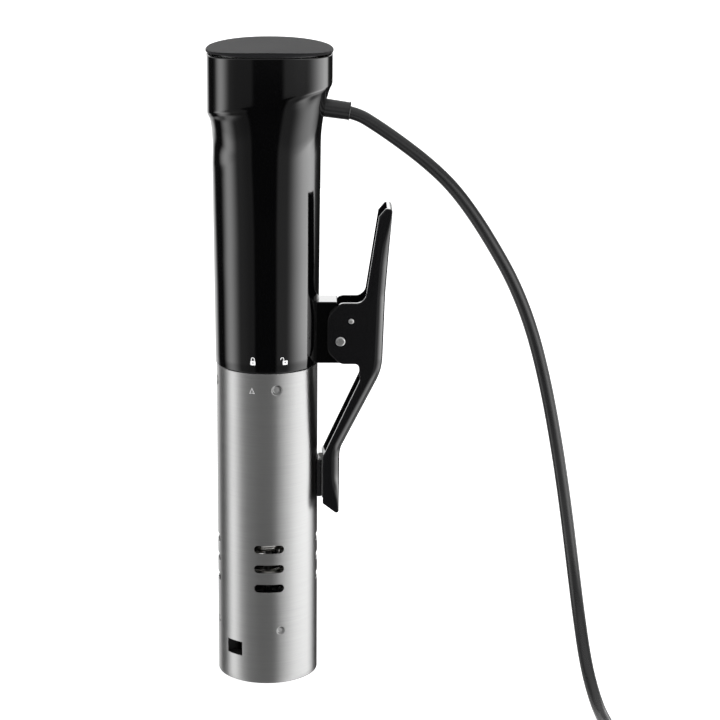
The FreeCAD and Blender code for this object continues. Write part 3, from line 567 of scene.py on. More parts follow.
def softened(values, width):
    """Round the corners of a curve over the fine levels: its mean under a bell,
    exp(-(t / width)^2 / 2)."""
    bell = np.exp(-0.5 * (bell_reach / width) ** 2)
    margin = len(bell_reach) // 2
    padded = np.pad(values, margin, mode="edge")
    smoothed = np.convolve(padded, bell / bell.sum(), mode="same")
    return smoothed[margin:][:len(values)]


# Shares of the way from the neck to the head, at steps of the rise through the shoulder: the
# width to the sides, and the shift of the middle towards the cord.
rise_steps = (0, 0.14, 0.40, 0.65, 0.83, 0.93, 1)
spread_steps = (0, 0.012, 0.11, 0.30, 0.53, 0.72, 1)
shift_steps = (0, 0.12, 0.47, 0.70, 0.90, 0.95, 1)
below_crease, depth_start = 11, 60
low_part = 1 / (1 + np.exp(-(shoulder - below_crease - fine_levels) / 1.5))

spread_values = np.interp(rise, rise_steps, spread_steps)
spread_curve = (softened(softened(spread_values, 0.7), 0.5) * (1 - low_part)
                + softened(softened(spread_values, 5.5), 4.5) * low_part)
shift_curve = softened(np.interp(rise, rise_steps, shift_steps), 4.0)

# From front to back the head grows over a longer stretch, 0.6 t^1.7 + 0.4 t^6, so that the
# reflections in front run on almost straight.
depth_rise = np.clip((fine_levels - fold + depth_start) / (shoulder_drop + depth_start), 0, 1)
depth_curve = softened(0.6 * depth_rise ** 1.7 + 0.4 * depth_rise ** 6, 2.0)

# The tilt is the slope of the crease, and it fades out towards the foot and the top.
neck_curve = housing_base + (housing_neck - housing_base) * np.clip(taper, -1, 1)
tilt_below = np.clip(taper, 0, 1) * (neck_curve + (head_x - neck_curve) * spread_curve)
tilt_above = head_x * np.clip((housing_high - fine_levels) / (housing_high - shoulder), 0, 1)
tilt_curve = softened(slope * np.where(fine_levels < shoulder, tilt_below, tilt_above), 1.0)
print("shoulder from", fold, "to", shoulder)

# %% Housing surface


def oval(half_x, half_y, power, angles):
    """Distance from an oval's middle: (|cos / half x|^p + |sin / half y|^p)^(-1/p)."""
    return ((np.abs(np.cos(angles)) / half_x) ** power
            + (np.abs(np.sin(angles)) / half_y) ** power) ** (-1 / power)


def smooth(value, start, end):
    """Smooth step from 0 to 1: s^2 (3 - 2 s), with s the share of the way to the end."""
    share = np.clip((value - start) / (end - start), 0, 1)
    return share * share * (3 - 2 * share)


def housing_points(levels, insets, angles):
    """Points of the housing's wall: an oval at each level, tilted towards the cord.

    x = shift + r cos, y = r sin, z = level + tilt cos - sink, with r the oval less the inset.
    The sink is the dip of the top towards both ends, dip (r cos / half x)^2."""
    spread, depth, neck, shift, tilt = (
        np.interp(levels, fine_levels, curve)[:, None]
        for curve in (spread_curve, depth_curve, neck_curve, shift_curve, tilt_curve))
    inset = np.asarray(insets)[:, None]
    reach = oval(neck + (head_x - neck) * spread - inset, neck + (head_y - neck) * depth - inset,
                 2 + (head_power - 2) * depth, angles)
    x, y = reach * np.cos(angles), reach * np.sin(angles)
    sink = top_dip * (x / head_x) ** 2 * smooth(levels, shoulder + 6, housing_high)[:, None]
    return np.stack([head_shift * shift + x, y,
                     levels[:, None] + tilt * np.cos(angles) - sink], axis=-1)


def rim_turn(radius, steps):
    """A quarter turn of a rim: its inset from the wall, r (1 - sin), and its distance from the
    end, r (1 - cos)."""
    angle = np.linspace(0, math.pi / 2, steps)
    return radius * (1 - np.sin(angle)), radius * (1 - np.cos(angle))


def wall_profile(low, high, thickness, radius, heights):
    """Closed profile of a wall with two rounded rims, as levels and insets.

    It runs up the outside and down the inside, where the inset is the thickness less the
    outside's."""
    inset, rise_in = rim_turn(radius, 5)
    middle = heights[(heights > low + radius) & (heights < high - radius)]
    levels = np.concatenate([low + rise_in, middle, (high - rise_in)[::-1],
                             high - rise_in, middle[::-1], (low + rise_in)[::-1]])
    outside = np.concatenate([inset, np.zeros(len(middle)), inset[::-1]])
    return levels, np.concatenate([outside, thickness - outside])


# Rows stand 6 mm apart on the straight body and closer where the shoulder bends.
angles = np.linspace(0, 2 * math.pi, 288, endpoint=False)
heights = np.concatenate([np.arange(housing_low, fold - 6, 6.0),
                          np.arange(fold - 6, shoulder - 5, 1.2),
                          np.arange(shoulder - 5, shoulder + 3, 0.4),
                          np.arange(shoulder + 3, housing_high, 3.0)])
housing_rim = 0.45
levels, insets = wall_profile(housing_low, housing_high, wall, housing_rim, heights)
housing = grid_piece("housing", housing_points(levels, insets, angles), along=True)
print("housing faces:", len(housing.data.polygons))

# %% [markdown]
# ## Recesses in the housing
# A tapered strip covers the cable channel on the cord side, and the clamp's waisted base sits
# under it.  Both are let into the wall by 0.7 mm; the strain relief's hole goes through it.
# Each recess is cut with a block that has the outline's shape and whose inner face is the
# housing's own form, 0.7 mm smaller.  So its floor follows the wall, which a flat-ended block
# could not do.

# %% Outlines


def unit(vectors):
    """Vectors of length one: each divided by its length."""
    return vectors / np.maximum(np.linalg.norm(vectors, axis=-1, keepdims=True), 1e-12)


def rounded(corners, pitch=0.35):
    """Closed outline through (u, v, radius) corners, each replaced by its tangent arc.

    The arc's centre is on the corner's bisector, radius / sin(half the corner) away."""
    corners = np.asarray(corners, float)
    points, radii = corners[:, :2], corners[:, 2]
    before = unit(np.roll(points, 1, axis=0) - points)
    after = unit(np.roll(points, -1, axis=0) - points)
    half = np.arccos(np.clip((before * after).sum(axis=1), -1, 1)) / 2
    centre = points + unit(before + after) * (radii / np.sin(half))[:, None]
    start = points + before * (radii / np.tan(half))[:, None] - centre
    end = points + after * (radii / np.tan(half))[:, None] - centre
    first = np.arctan2(start[:, 1], start[:, 0])
    sweep = np.arctan2(start[:, 0] * end[:, 1] - start[:, 1] * end[:, 0],
                       (start * end).sum(axis=1))
    counts = np.where(radii > 0, np.clip(np.abs(sweep) * radii / pitch, 4, 40), 1).astype(int)
    arcs = [c + r * np.stack([np.cos(a + s * np.linspace(0, 1, n)),
                              np.sin(a + s * np.linspace(0, 1, n))], axis=1)
            for c, r, a, s, n in zip(centre, radii, first, sweep, counts)]
    return np.concatenate(arcs)


def offset(outline, distance):
    """Outline moved inwards by a distance at each point, along the mitre of its two sides.

    With their normals m and n, the mitre is (m + n) / (1 + m . n)."""
    after = unit(np.roll(outline, -1, axis=0) - outline)
    before = unit(outline - np.roll(outline, 1, axis=0))
    area = np.sum(outline[:, 0] * np.roll(outline[:, 1], -1)
                  - outline[:, 1] * np.roll(outline[:, 0], -1))
    turn = np.array([[0, 1], [-1, 0]]) * np.sign(area)
    mitre = (before @ turn + after @ turn) / (1 + (before * after).sum(axis=1))[:, None]
    return outline + mitre * np.reshape(distance, (-1, 1))


def prism(name, outline, start, end, axes="yzx"):
    """Straight prism of an outline on two axes, carried along the third."""
    order = ["xyz".index(axis) for axis in axes]
    points = np.empty((2, len(outline), 3))
    points[:, :, order[0]] = outline[:, 0]
    points[:, :, order[1]] = outline[:, 1]
    points[:, :, order[2]] = [[start], [end]]
    return grid_piece(name, points, caps=True)


def solid_form(name, inset):
    """The housing's outer form as one closed body, drawn in by an inset."""
    low, high = housing_low - 1, housing_high + 1
    steps = np.concatenate([[low], heights[(heights > low) & (heights < high)], [high]])
    return grid_piece(name, housing_points(steps, np.full(len(steps), inset), angles),
                      caps=True)


print("outline helpers ready")

# %% Recesses
bracket_low = housing_low + 0.6
bracket_high = bracket_low + 37.2
strip_low, strip_shoulder = bracket_high + 1.0, housing_low + 96.0
strip_wide, strip_narrow = bracket_half + 7.3, 9.7
strip_top = strip_shoulder + 8.4
recess_depth, plate_back = 0.7, 0.62
block_start, block_end = 20, 50


def strip_outline(margin):
    """Tapered strip: straight sides that lean in, and a low arch on top."""
    return rounded([(-strip_wide + margin, strip_low + margin, 0.8),
                    (strip_wide - margin, strip_low + margin, 0.8),
                    (strip_narrow - margin, strip_shoulder, 5.0),
                    (strip_narrow * 0.62, strip_top - margin, 5.0),
                    (-strip_narrow * 0.62, strip_top - margin, 5.0),
                    (-strip_narrow + margin, strip_shoulder, 5.0)])


def flange_outline(margin):
    """Waisted plate: half width = waist - 4.0 (u - 0.5) + 20.7 (u - 0.5)^2 over its height u,
    and a chamfered foot."""
    up = np.concatenate([[0.0], np.linspace(0.105, 1, 25)])
    low, high = bracket_low - 0.2 + margin, bracket_high + 0.6 - margin
    half = bracket_half + 2.1 - 3.965 * (up - 0.5) + 20.73 * (up - 0.5) ** 2 - margin
    half[0] = bracket_half + 3.8 - margin
    side = np.stack([half, low + (high - low) * up], axis=1)
    return np.concatenate([side, (side * (-1, 1))[::-1]])


def recess_block(name, outline):
    """Block that cuts a recess with a floor parallel to the housing's surface."""
    return cut(prism(name, outline, block_start, block_end),
               solid_form("floor_form", recess_depth))


def inlay(name, outline, depth):
    """Plate that lies in a recess, its face at a depth below the housing's surface."""
    plate = cut(prism(name, outline, block_start, block_end), solid_form("face_form", depth),
                "INTERSECT")
    return cut(plate, solid_form("back_form", plate_back))


for outline in (strip_outline(0), flange_outline(0)):
    cut(housing, recess_block("recess", outline))
print("housing faces with its recesses:", len(housing.data.polygons))

# %% Turned pieces


def lathe(name, profile, start, axis, segments=48):
    """Turned piece: a closed profile of (distance along the axis, radius), spun round it.

    Point = start + distance axis + radius (cos side + sin other), with side and other square
    to the axis."""
    profile = np.asarray(profile, float)
    axis = unit(np.asarray(axis, float))
    side = unit(np.cross(axis, (0.0, 0.0, 1.0) if abs(axis[2]) < 0.9 else (1.0, 0.0, 0.0)))
    other = np.cross(axis, side)
    turn = np.linspace(0, 2 * math.pi, segments, endpoint=False)
    ring = np.cos(turn)[:, None] * side + np.sin(turn)[:, None] * other
    points = np.asarray(start) + profile[:, None, :1] * axis + profile[:, None, 1:] * ring
    if profile[0, 1] > 0.01 and np.allclose(profile[0], profile[-1]):
        return grid_piece(name, points[:-1], along=True)
    piece = grid_piece(name, points)
    return edited(piece, lambda work: bmesh.ops.remove_doubles(work, verts=work.verts,
                                                               dist=1e-6), outwards)


def bore(piece, radius, start, axis, length=30):
    """Round hole of a radius, drilled from a point along an axis."""
    return cut(piece, lathe("bore", [(0, 0), (0, radius), (length, radius), (length, 0)],
                            start, axis))


print("lathe ready")

# %% Hole, strip and finish
boot_way = np.array(boot_axis(1.0)) - np.array(boot_axis(0.0))
boot_radius, boot_gap = cord_radius + 1.95, 0.35
bore(housing, boot_radius + boot_gap, boot_axis(boot_inner), boot_way)
crisp(housing, 35)
finish_piece(housing, "housing", "gloss_black", finishes["gloss_black"], "housing_shell")

strip = crisp(inlay("spine_strip", strip_outline(0.15), 0.12), 35)
finish_piece(strip, "housing", "matt_black", finishes["gloss_black"], "spine_cover")
print("housing faces:", len(housing.data.polygons))

# %% [markdown]
# ## The touch panel
# The panel is an oval plate of matt plastic that overhangs the head by half a millimetre.
# A gasket, set back under it, leaves the dark line between panel and head.  A closed grid
# that runs over its rim gives the plate in one piece, with the same dip as the housing's top.

# %% Panel


def oval_plate(name, low, high, overhang, radius, crown):
    """Oval plate with quarter-round rims: rows go from the middle of its lower face, over the
    rim, to the middle of its upper face.  Its ends sink by crown (x / half x)^2."""
    inwards, rise_in = rim_turn(radius, 9)
    middle = np.linspace(30, 2, 8)
    flat = np.zeros(len(middle))
    shrink = np.concatenate([middle, inwards, inwards[::-1], middle[::-1]]) - overhang
    level = np.concatenate([low + flat, low + rise_in, (high - rise_in)[::-1],
                            high + flat])[:, None]
    reach = oval((head_x - shrink)[:, None], (head_y - shrink)[:, None], head_power, angles)
    x, y = reach * np.cos(angles), reach * np.sin(angles)
    sink = (top_dip + crown * smooth(level, low, high)) * (x / head_x) ** 2
    return grid_piece(name, np.stack([head_shift + x, y, level - sink], axis=-1), caps=True)


panel_overhang, panel_rim, panel_crown = 0.5, 0.85, 0.5
panel = oval_plate("touch_panel", panel_low, panel_high, panel_overhang, panel_rim, panel_crown)
finish_piece(panel, "housing", "matt_black", finishes["matt_black"], "top_panel")
print("panel", panel_low, panel_high)

# %% [markdown]
# ## The steel skirt
# The skirt is a sheet tube.  Its radius at an angle and a height is 30 mm less the depth of
# the pressed dimples: round lugs that run in the collar's grooves, and smaller ones that
# centre the pump.  They are part of the surface, so they catch the light as pressed sheet
# does, and the grid is close only where a dimple is.  Slots and the pump's window are cut
# afterwards with radial cutters, because no grid would follow their round ends.

# %% Skirt
lug_height, lug_angle = skirt_high - 10.0, 12.0
low_height, low_angle = 33.6, 16.0
dimples = ((lug_angle, lug_height, 3.1, 1.9, 1.55),
           (low_angle, low_height, 2.45, 1.35, 1.05))


def skirt_point(radius, angle, height):
    """Point at an angle from the front, towards the clamp: x = r sin, y = -r cos."""
    return np.stack([radius * np.sin(angle), -radius * np.cos(angle),
                     height + 0 * radius * angle], axis=-1)


def pressed(angle, height):
    """Depth of the dimples: a flat floor, then a smooth wall out to the dimple's edge.

    A dimple is its angle, its height, its outer radius, its floor's radius and its depth;
    each comes once in every quarter."""
    depth = np.zeros(np.broadcast(angle, height).shape)
    for quarter in range(4):
        for turn, level, edge, floor, deep in dimples:
            away = angle - math.radians(turn + 90 * quarter)
            away = (away + math.pi) % (2 * math.pi) - math.pi
            distance = np.hypot(away * skirt_radius, height - level)
            depth = depth + deep * (1 - smooth(distance, floor, edge))
    return depth


near = np.radians(np.concatenate([np.arange(5.5, 22, 0.6), np.arange(24, 94, 2.3)]))
skirt_angles = np.sort(np.concatenate([near + math.pi / 2 * quarter for quarter in range(4)]))
skirt_heights = np.unique(np.concatenate([
    np.arange(0, skirt_high, 3.5), np.arange(low_height - 2.8, low_height + 2.9, 0.28),
    np.arange(lug_height - 3.4, lug_height + 3.5, 0.28)]))
skirt_rim = 0.25
levels, insets = wall_profile(0.0, skirt_high, skirt_wall, skirt_rim, skirt_heights)
grid_angle, grid_level = skirt_angles[None, :], levels[:, None]
radius = skirt_radius - insets[:, None] - pressed(grid_angle, grid_level)
skirt = grid_piece("steel_tube", skirt_point(radius, grid_angle, grid_level), along=True)
print("skirt faces before its slots:", len(skirt.data.polygons))

# %% Slots and window


def joined_shells(name, shells):
    """One piece from several closed shells, each given as its points and its faces."""
    points, faces, count = [], [], 0
    for spots, sides in shells:
        points.append(spots)
        faces += [tuple(int(index) + count for index in side) for side in sides]
        count += len(spots)
    return edited(mesh_piece(name, np.concatenate(points), faces), outwards)


def wrapped_cutter(outline, angle, inner=27.5, outer=32.0):
    """Radial prism: an outline of (arc length, height), wrapped at an angle off the front."""
    turn = math.radians(angle) + outline[:, 0] / skirt_radius
    points = np.stack([skirt_point(np.full(len(outline), r), turn, outline[:, 1])
                       for r in (inner, outer)])
    columns = len(outline)
    sides = [tuple(face) for face in grid_faces(2, columns, around=True)]
    sides += [tuple(range(columns)), tuple(range(columns, 2 * columns))]
    return points.reshape(-1, 3), sides


def box_outline(half, low, high, radius, pitch=0.35):
    """Rectangle of (arc length, height) with rounded corners."""
    return rounded([(-half, low, radius), (half, low, radius), (half, high, radius),
                    (-half, high, radius)], pitch)


slot_half = math.radians(17.3) * skirt_radius
slot_round, slot_angle, slot_heights = 2.5, 2.7, (60.6, 72.9, 85.2)
window_half, window_low, window_high, window_angle = 5.8, 16.3, 25.0, -41.0
cutters = [wrapped_cutter(box_outline(slot_half, height - slot_round, height + slot_round,
                                      slot_round * 0.999, 0.3), slot_angle + 90 * quarter)
           for quarter in range(4) for height in slot_heights]
cutters.append(wrapped_cutter(box_outline(window_half, window_low, window_high, 0.3),
                              window_angle))
cut(skirt, joined_shells("slot_cutters", cutters))
crisp(skirt, 40)
finish_piece(skirt, "skirt", "brushed", finishes["brushed"], "steel_skirt")
print("skirt faces:", len(skirt.data.polygons))

# %% [markdown]
# ## Printed and etched marks
# Two padlocks on the housing, closed and open, show which way the skirt turns, and a small
# etched arrow on the skirt points at them.  Each is a thin plate bent to the tube, a strip
# between an inner and an outer line, so its edges stay sharp however close one looks.

# %% Marks


def mark_plate(inner, outer, angle, base, closed, under=0.005, over=0.03):
    """Thin plate between two lines of (arc length, height), bent round the tube.

    Its radius is the base's at that height plus under or over, for its two faces."""
    rows = [(inner, under), (outer, under), (outer, over), (inner, over)]
    points = np.stack([skirt_point(base(line[:, 1]) + height,
                                   math.radians(angle) + line[:, 0] / skirt_radius, line[:, 1])
                       for line, height in rows])
    columns = points.shape[1]
    faces = [tuple(face) for face in grid_faces(4, columns, around=closed, along=True)]
    if not closed:
        ends = np.arange(4) * columns
        faces += [tuple(ends), tuple(ends + columns - 1)]
    return points.reshape(-1, 3), faces


def housing_skin(height):
    """The housing's radius near its foot, which grows evenly towards the neck."""
    return housing_base + (housing_neck - housing_base) * (height - housing_low) / (
        fold - housing_low)


def padlock(angle, low, shackle_shift):
    """Padlock: a body with a keyhole and a shackle, which an open one carries to the side.

    The body's edge is the curve |s/a|^8 + |z/b|^8 = 1; its keyhole is a circle."""
    turn = np.linspace(0, 2 * math.pi, 48, endpoint=False)
    cosine, sine = np.cos(turn), np.sin(turn)
    half_wide, half_high = 1.5, 1.3
    keyhole_radius, shackle_radius, line_half = 0.38, 0.9, 0.21
    foot_low, arc_low = low + 2.4, low + 3.6
    edge = (np.abs(cosine / half_wide) ** 8 + np.abs(sine / half_high) ** 8) ** (-1 / 8)
    middle = low + half_high
    outline = np.stack([edge * cosine, middle + edge * sine], axis=1)
    keyhole = np.stack([keyhole_radius * cosine, middle + 0.1 + keyhole_radius * sine], axis=1)
    turn = np.linspace(math.pi, 0, 17)
    arc = np.stack([shackle_radius * np.cos(turn), arc_low + shackle_radius * np.sin(turn)],
                   axis=1)
    lifted = 0.9 if shackle_shift else 0.0
    line = np.concatenate([[(-shackle_radius, foot_low + lifted)], arc,
                           [(shackle_radius, foot_low)]])
    way = unit(np.gradient(line, axis=0))
    side = np.stack([-way[:, 1], way[:, 0]], axis=1) * line_half
    line[:, 0] += shackle_shift
    return [mark_plate(keyhole, outline, angle, housing_skin, True),
            mark_plate(line - side, line + side, angle, housing_skin, False)]


lock_low, closed_angle, open_angle, open_shift = housing_low + 5.0, -14.7, 21.2, -1.8
locks = joined_shells("lock_marks", padlock(closed_angle, lock_low, 0.0)
                      + padlock(open_angle, lock_low, open_shift))
finish_piece(locks, "housing", "gloss_black", white)

arrow_low = skirt_high - 12.1
arrow_line = np.array([(-1.75, arrow_low), (1.75, arrow_low), (0.0, arrow_low + 3.9)])
arrow_plate = mark_plate(offset(arrow_line, 0.55), arrow_line, -16.2,
                         lambda height: skirt_radius + 0 * height, True)
arrow = joined_shells("arrow_mark", [arrow_plate])
finish_piece(arrow, "skirt", "brushed", etched)
print("mark faces:", len(locks.data.polygons) + len(arrow.data.polygons))

# %% [markdown]
# ## The clamp
# The clamp is two mouldings on one pin.  The fixed bracket grows out of the waisted base.
# The lever is a channel, open towards the stick, with a handle above the pin and a jaw below
# it.  Both start as a rounded prism: the outline is carried across, and near each side it is
# drawn in along a quarter circle.  A Bevel modifier has one width, while the lever's back
# edges are rounded far more than the rest, so the quarter circle takes a radius at each point.

# %% Rounded prisms


def rounded_prism(name, outline, half, radius, steps=7):
    """Prism of an X-Z outline along Y with quarter-round edges of a radius at each point.

    Where y = half - r (1 - cos), the outline is drawn in by r (1 - sin)."""
    radius = np.broadcast_to(radius, len(outline))
    rows = []
    for angle in np.linspace(0, math.pi / 2, steps):
        drawn = offset(outline, radius * (1 - math.sin(angle)))
        side = half - radius * (1 - math.cos(angle))
        rows.append(np.stack([drawn[:, 0], -side, drawn[:, 1]], axis=1))
    rows = np.array(rows)
    return grid_piece(name, np.concatenate([rows, rows[::-1] * (1, -1, 1)]), caps=True)


def refined(outline, longest=1.5):
    """Outline with extra points on its long straight runs."""
    after = np.roll(outline, -1, axis=0)
    count = np.ceil(np.linalg.norm(after - outline, axis=1) / longest).astype(int)
    return np.concatenate([start + (end - start) * np.linspace(0, 1, n, endpoint=False)[:, None]
                           for start, end, n in zip(outline, after, count) if n])


def from_pivot(corners):
    """Rounded outline from corners measured from the pivot pin."""
    return rounded(np.asarray(corners, float) + (pivot_x, pivot_z, 0))


def weighted(piece, degrees=30.0):
    """Crisp edges, and normals that follow each point's larger faces, so flats stay flat."""
    crisp(piece, degrees)
    added = piece.modifiers.new("weighted", "WEIGHTED_NORMAL")
    added.keep_sharp = True
    return applied(piece)


print("prism helpers ready")

# %% Lever
# Corners are (x, z, radius), measured from the pivot pin.
lever_line = refined(from_pivot([
    (-10.1, -71.4, 2.0), (11.7, -23.9, 5.0), (10.9, -13.8, 2.5), (0.0, -13.8, 6.0),
    (-7.7, -6.4, 8.0), (-7.7, 15.1, 10.0), (0.0, 23.2, 5.0), (14.3, 23.2, 6.0),
    (22.1, 75.0, 0.6), (26.2, 79.9, 1.5), (30.1, 79.4, 2.0), (26.3, 27.6, 60.0),
    (24.8, -18.4, 34.0), (-0.1, -67.9, 16.0), (-0.4, -107.8, 1.5), (-10.1, -100.4, 0.6)]))
channel_line = from_pivot([
    (-23.3, -70.9, 0), (-2.8, -70.9, 1.5), (-2.7, -67.2, 10.0), (22.3, -17.8, 12.0),
    (23.7, 27.8, 60.0), (27.5, 91.6, 0), (-23.3, 91.6, 0)])
# The back edge's radius grows to its full width between the tip and the jaw.
height = lever_line[:, 1] - pivot_z
back = (lever_line[:, 0] - pivot_x > -0.5 + np.interp(height, (-70, -20, 30, 80),
                                                      (-3, 20, 22, 22)))
back &= height < 79
share = smooth(height, 80, 50) * smooth(height, -105, -85) * back
edge_radius, back_growth, blur = 0.5, 5.3, 9
edge = edge_radius + back_growth * share
ends = blur // 2
edge = np.convolve(np.concatenate([edge[-ends:], edge, edge[:ends]]), np.ones(blur) / blur,
                   "valid")
lever = rounded_prism("lever_channel", lever_line, lever_half, edge)
inner_half = lever_half - lever_wall
cut(lever, prism("channel", channel_line, -inner_half, inner_half, "xzy"))

across = (0.0, 1.0, 0.0)
pivot_hole, spring_hole = 2.95, 1.66
spring_x, spring_z = pivot_x + 6.3, pivot_z + 12.3
for spot_x, spot_z, size in ((pivot_x, pivot_z, pivot_hole), (spring_x, spring_z, spring_hole)):
    bore(lever, size, (spot_x, -15, spot_z), across)
weighted(lever, 32)
finish_piece(lever, "lever", "gloss_black", clamp_black, "clamp_lever")
print("lever faces:", len(lever.data.polygons))

# %% Bracket
arm_root, arm_face, arm_nose = 26.0, pivot_x - 1.8, pivot_x + 11.0
arm_line = refined(rounded([
    (arm_root, bracket_low, 0.0), (pivot_x + 1.2, bracket_low, 1.5),
    (arm_nose, bracket_low + 5.4, 8.0), (arm_nose, pivot_z + 11.0, 10.9),
    (arm_face, pivot_z + 11.0, 0.9), (arm_face, bracket_high, 0.9),
    (arm_root, bracket_high, 0.0)]))
bracket = cut(prism("bracket", flange_outline(0.15), block_start, block_end),
              solid_form("form", 0.0), "INTERSECT")
cut(bracket, rounded_prism("arm", arm_line, bracket_half, 0.5, 5), "UNION")
cut(bracket, solid_form("floor_form", plate_back))
# The spring's slot and the mouth between the two cheeks are both as wide as the spring.
spring_room = bracket_half - 4.1
for start, low, high, radius in ((34.0, pivot_z - 10.5, pivot_z + 10.5, 0.6),
                                 (arm_face, bracket_low - 1, bracket_high + 1, 0)):
    opening = rounded([(start, low, radius), (60, low, 0), (60, high, 0), (start, high, radius)])
    cut(bracket, prism("opening", opening, -spring_room, spring_room, "xzy"))
bore(bracket, pivot_hole, (pivot_x, -15, pivot_z), across)
weighted(bracket, 32)
finish_piece(bracket, "housing", "gloss_black", finishes["gloss_black"], "clamp_bracket")
print("bracket faces:", len(bracket.data.polygons))

# %% [markdown]
# ## Pins, spring and grip pad
# The pins are turned: a half profile spun round their axis.  A cylinder with a bevel would do
# for plain ones, but the pivot's heads have a ring groove, and the spring's pin is domed.  The
# spring is one wire, a helix with two straight legs, so one path carries it.  The grip pad is
# rubber, hollowed to the skirt, on a folded steel plate.

# %% Pins


def turned_pin(name, end, span, x, z, segments):
    """Pin across the clamp from one end's profile of (distance, radius), mirrored."""
    profile = end + [(span - distance, radius) for distance, radius in end[::-1]]
    return crisp(lathe(name, profile, (x, -span / 2, z), across, segments), 40)


head = [(0.0, 0.0), (0.0, 1.2), (0.45, 1.45), (0.45, 1.8), (0.0, 2.05), (0.06, 2.6),
        (0.30, 2.86), (0.55, 2.9)]
pivot = turned_pin("pivot_pin_turned", head, 2 * (lever_half + 0.5), pivot_x, pivot_z, 64)
finish_piece(pivot, "housing", "steel", finishes["steel"], "pivot_pin")

dome = [(0.35 * (1 - math.cos(a)), 1.6 * math.sin(a)) for a in np.linspace(0, math.pi / 2, 8)]
spring_pin = turned_pin("spring_pin_turned", dome, 2 * (lever_half + 0.3), spring_x, spring_z,
                        48)
finish_piece(spring_pin, "lever", "steel", finishes["steel"], "spring_pin")
print("pins ready")

# %% Spring


def tube(name, path, radius, reference, segments=16):
    """Round wire along a path: rings across it, turned by a reference that it never meets.

    Point = path + radius (cos side + sin up), with side square to the path and reference."""
    path = np.asarray(path, float)
    ahead = unit(np.gradient(path, axis=0))
    side = unit(np.cross(ahead, reference))
    up = np.cross(side, ahead)
    turn = np.linspace(0, 2 * math.pi, segments, endpoint=False)
    points = path[:, None] + radius * (np.cos(turn)[:, None] * side[:, None]
                                       + np.sin(turn)[:, None] * up[:, None])
    return grid_piece(name, points, caps=True)


# Helix: x and z run round a ring while y goes from one cheek to the other.  Its upper leg
# rests behind the lever's small pin, its lower one against the bracket.
wire, ring, coil_half, first_turn = 0.78, 4.15, 2.95, 118
turn = np.linspace(math.radians(first_turn), math.radians(first_turn - 360 * 3 - 208), 220)
coil = np.stack([pivot_x + ring * np.cos(turn), np.linspace(-coil_half, coil_half, len(turn)),
                 pivot_z + ring * np.sin(turn)], axis=1)
upper = np.array([spring_x - 3.4, -2.6, spring_z + 3.0])
lower = np.array([34.8, 2.6, pivot_z - ring])
legs = np.linspace(0, 1, 12)[:, None]
spring_path = np.concatenate([upper + (coil[0] - upper) * legs[:-1], coil,
                              coil[-1] + (lower - coil[-1]) * legs[1:]])
spring = tube("spring_wire", spring_path, wire, across)
finish_piece(spring, "housing", "steel", finishes["steel"], "torsion_spring")
print("spring faces:", len(spring.data.polygons))

# %% Grip pad
# The face towards the skirt is the circle x = sqrt(r^2 - y^2), with ribs 2.3 mm apart; a depth
# of 0 at the plate and 1 at that face blends the rounded block into it.
pad_low, pad_high, pad_half = pivot_z - 97.4, pivot_z - 74.4, 7.0
jaw_face = skirt_radius + 3.2
pad_back, pad_front, pad_round = jaw_face - 0.6, 30.4, 0.7
section = refined(rounded([(pad_back, -pad_half, pad_round), (pad_back, pad_half, pad_round),
                           (pad_front, pad_half, pad_round), (pad_front, -pad_half, pad_round)],
                          0.2), 0.5)
inset, rise_in = rim_turn(0.6, 5)
levels = np.concatenate([pad_low + rise_in, np.linspace(pad_low + 1.5, pad_high - 1.5, 20),
                         (pad_high - rise_in)[::-1]])
shape = np.array([offset(section, drawn)
                  for drawn in np.concatenate([inset, np.zeros(20), inset[::-1]])])
hollow = np.sqrt((skirt_radius + 0.15) ** 2 - shape[..., 1] ** 2)
depth = np.clip((pad_back - shape[..., 0]) / (jaw_face - 1.0 - 30.0), 0, 1)
rib = 0.18 * (0.5 + 0.5 * np.cos(2 * math.pi * levels / 2.3))[:, None]
pad_x = shape[..., 0] + depth * (hollow + rib - pad_front)
pad = grid_piece("grip_rubber", np.stack([pad_x, shape[..., 1],
                                          levels[:, None] + 0 * pad_x], axis=-1), caps=True)
finish_piece(crisp(pad, 50), "lever", "rubber", finishes["rubber"], "grip_pad")

plate_line = rounded([(pad_back, pad_low - 0.5, 0), (jaw_face, pad_low - 0.5, 0),
                      (jaw_face, pad_high + 4.5, 0.3), (30.7, pad_high + 4.5, 0.3),
                      (30.7, pad_high + 3.0, 0.3), (32.0, pad_high + 1.5, 0.3),
                      (32.0, pad_high + 0.25, 0.1), (pad_back, pad_high + 0.25, 0.1)], 0.1)
plate = prism("pad_backing", plate_line, -6.6, 6.6, "xzy")
finish_piece(crisp(plate, 30), "lever", "steel", finishes["steel"], "pad_plate")
print("clamp done")

# %% [markdown]
# ## Strain relief, tie and plug
# The lead's strain relief is a rubber sleeve that widens a little towards its mouth.  A rubber
# strap holds the wound turns: round three cords side by side and on each other it takes the
# shape of their hull.  The plug is a round moulded body with a flattened, ribbed grip, so its
# radius depends on both the place along it and the angle round it.

# %% Boot
boot_overlap = 2.5
length = float(np.linalg.norm(boot_way)) * (boot_end - boot_inner + boot_overlap)
lip = [(0.55 - 0.55 * math.sin(a), 0.55 - 0.55 * math.cos(a))
       for a in np.linspace(0, math.pi / 2, 6)]
profile = [(0.0, 4.0), (0.0, 7.2), (4.4, 7.2), (4.4, 5.4), (12.0, 5.4)]
profile += [(length - back, 5.75 - inset) for back, inset in lip[::-1]]
profile += [(length - 0.05, 4.95), (length - 6.0, 4.0), (0.0, 4.0)]
boot = lathe("strain_relief", profile, boot_axis(boot_inner - boot_overlap), boot_way, 64)
finish_piece(crisp(boot, 35), "housing", "rubber", finishes["rubber"], "cord_boot")
print("strain relief length", length)

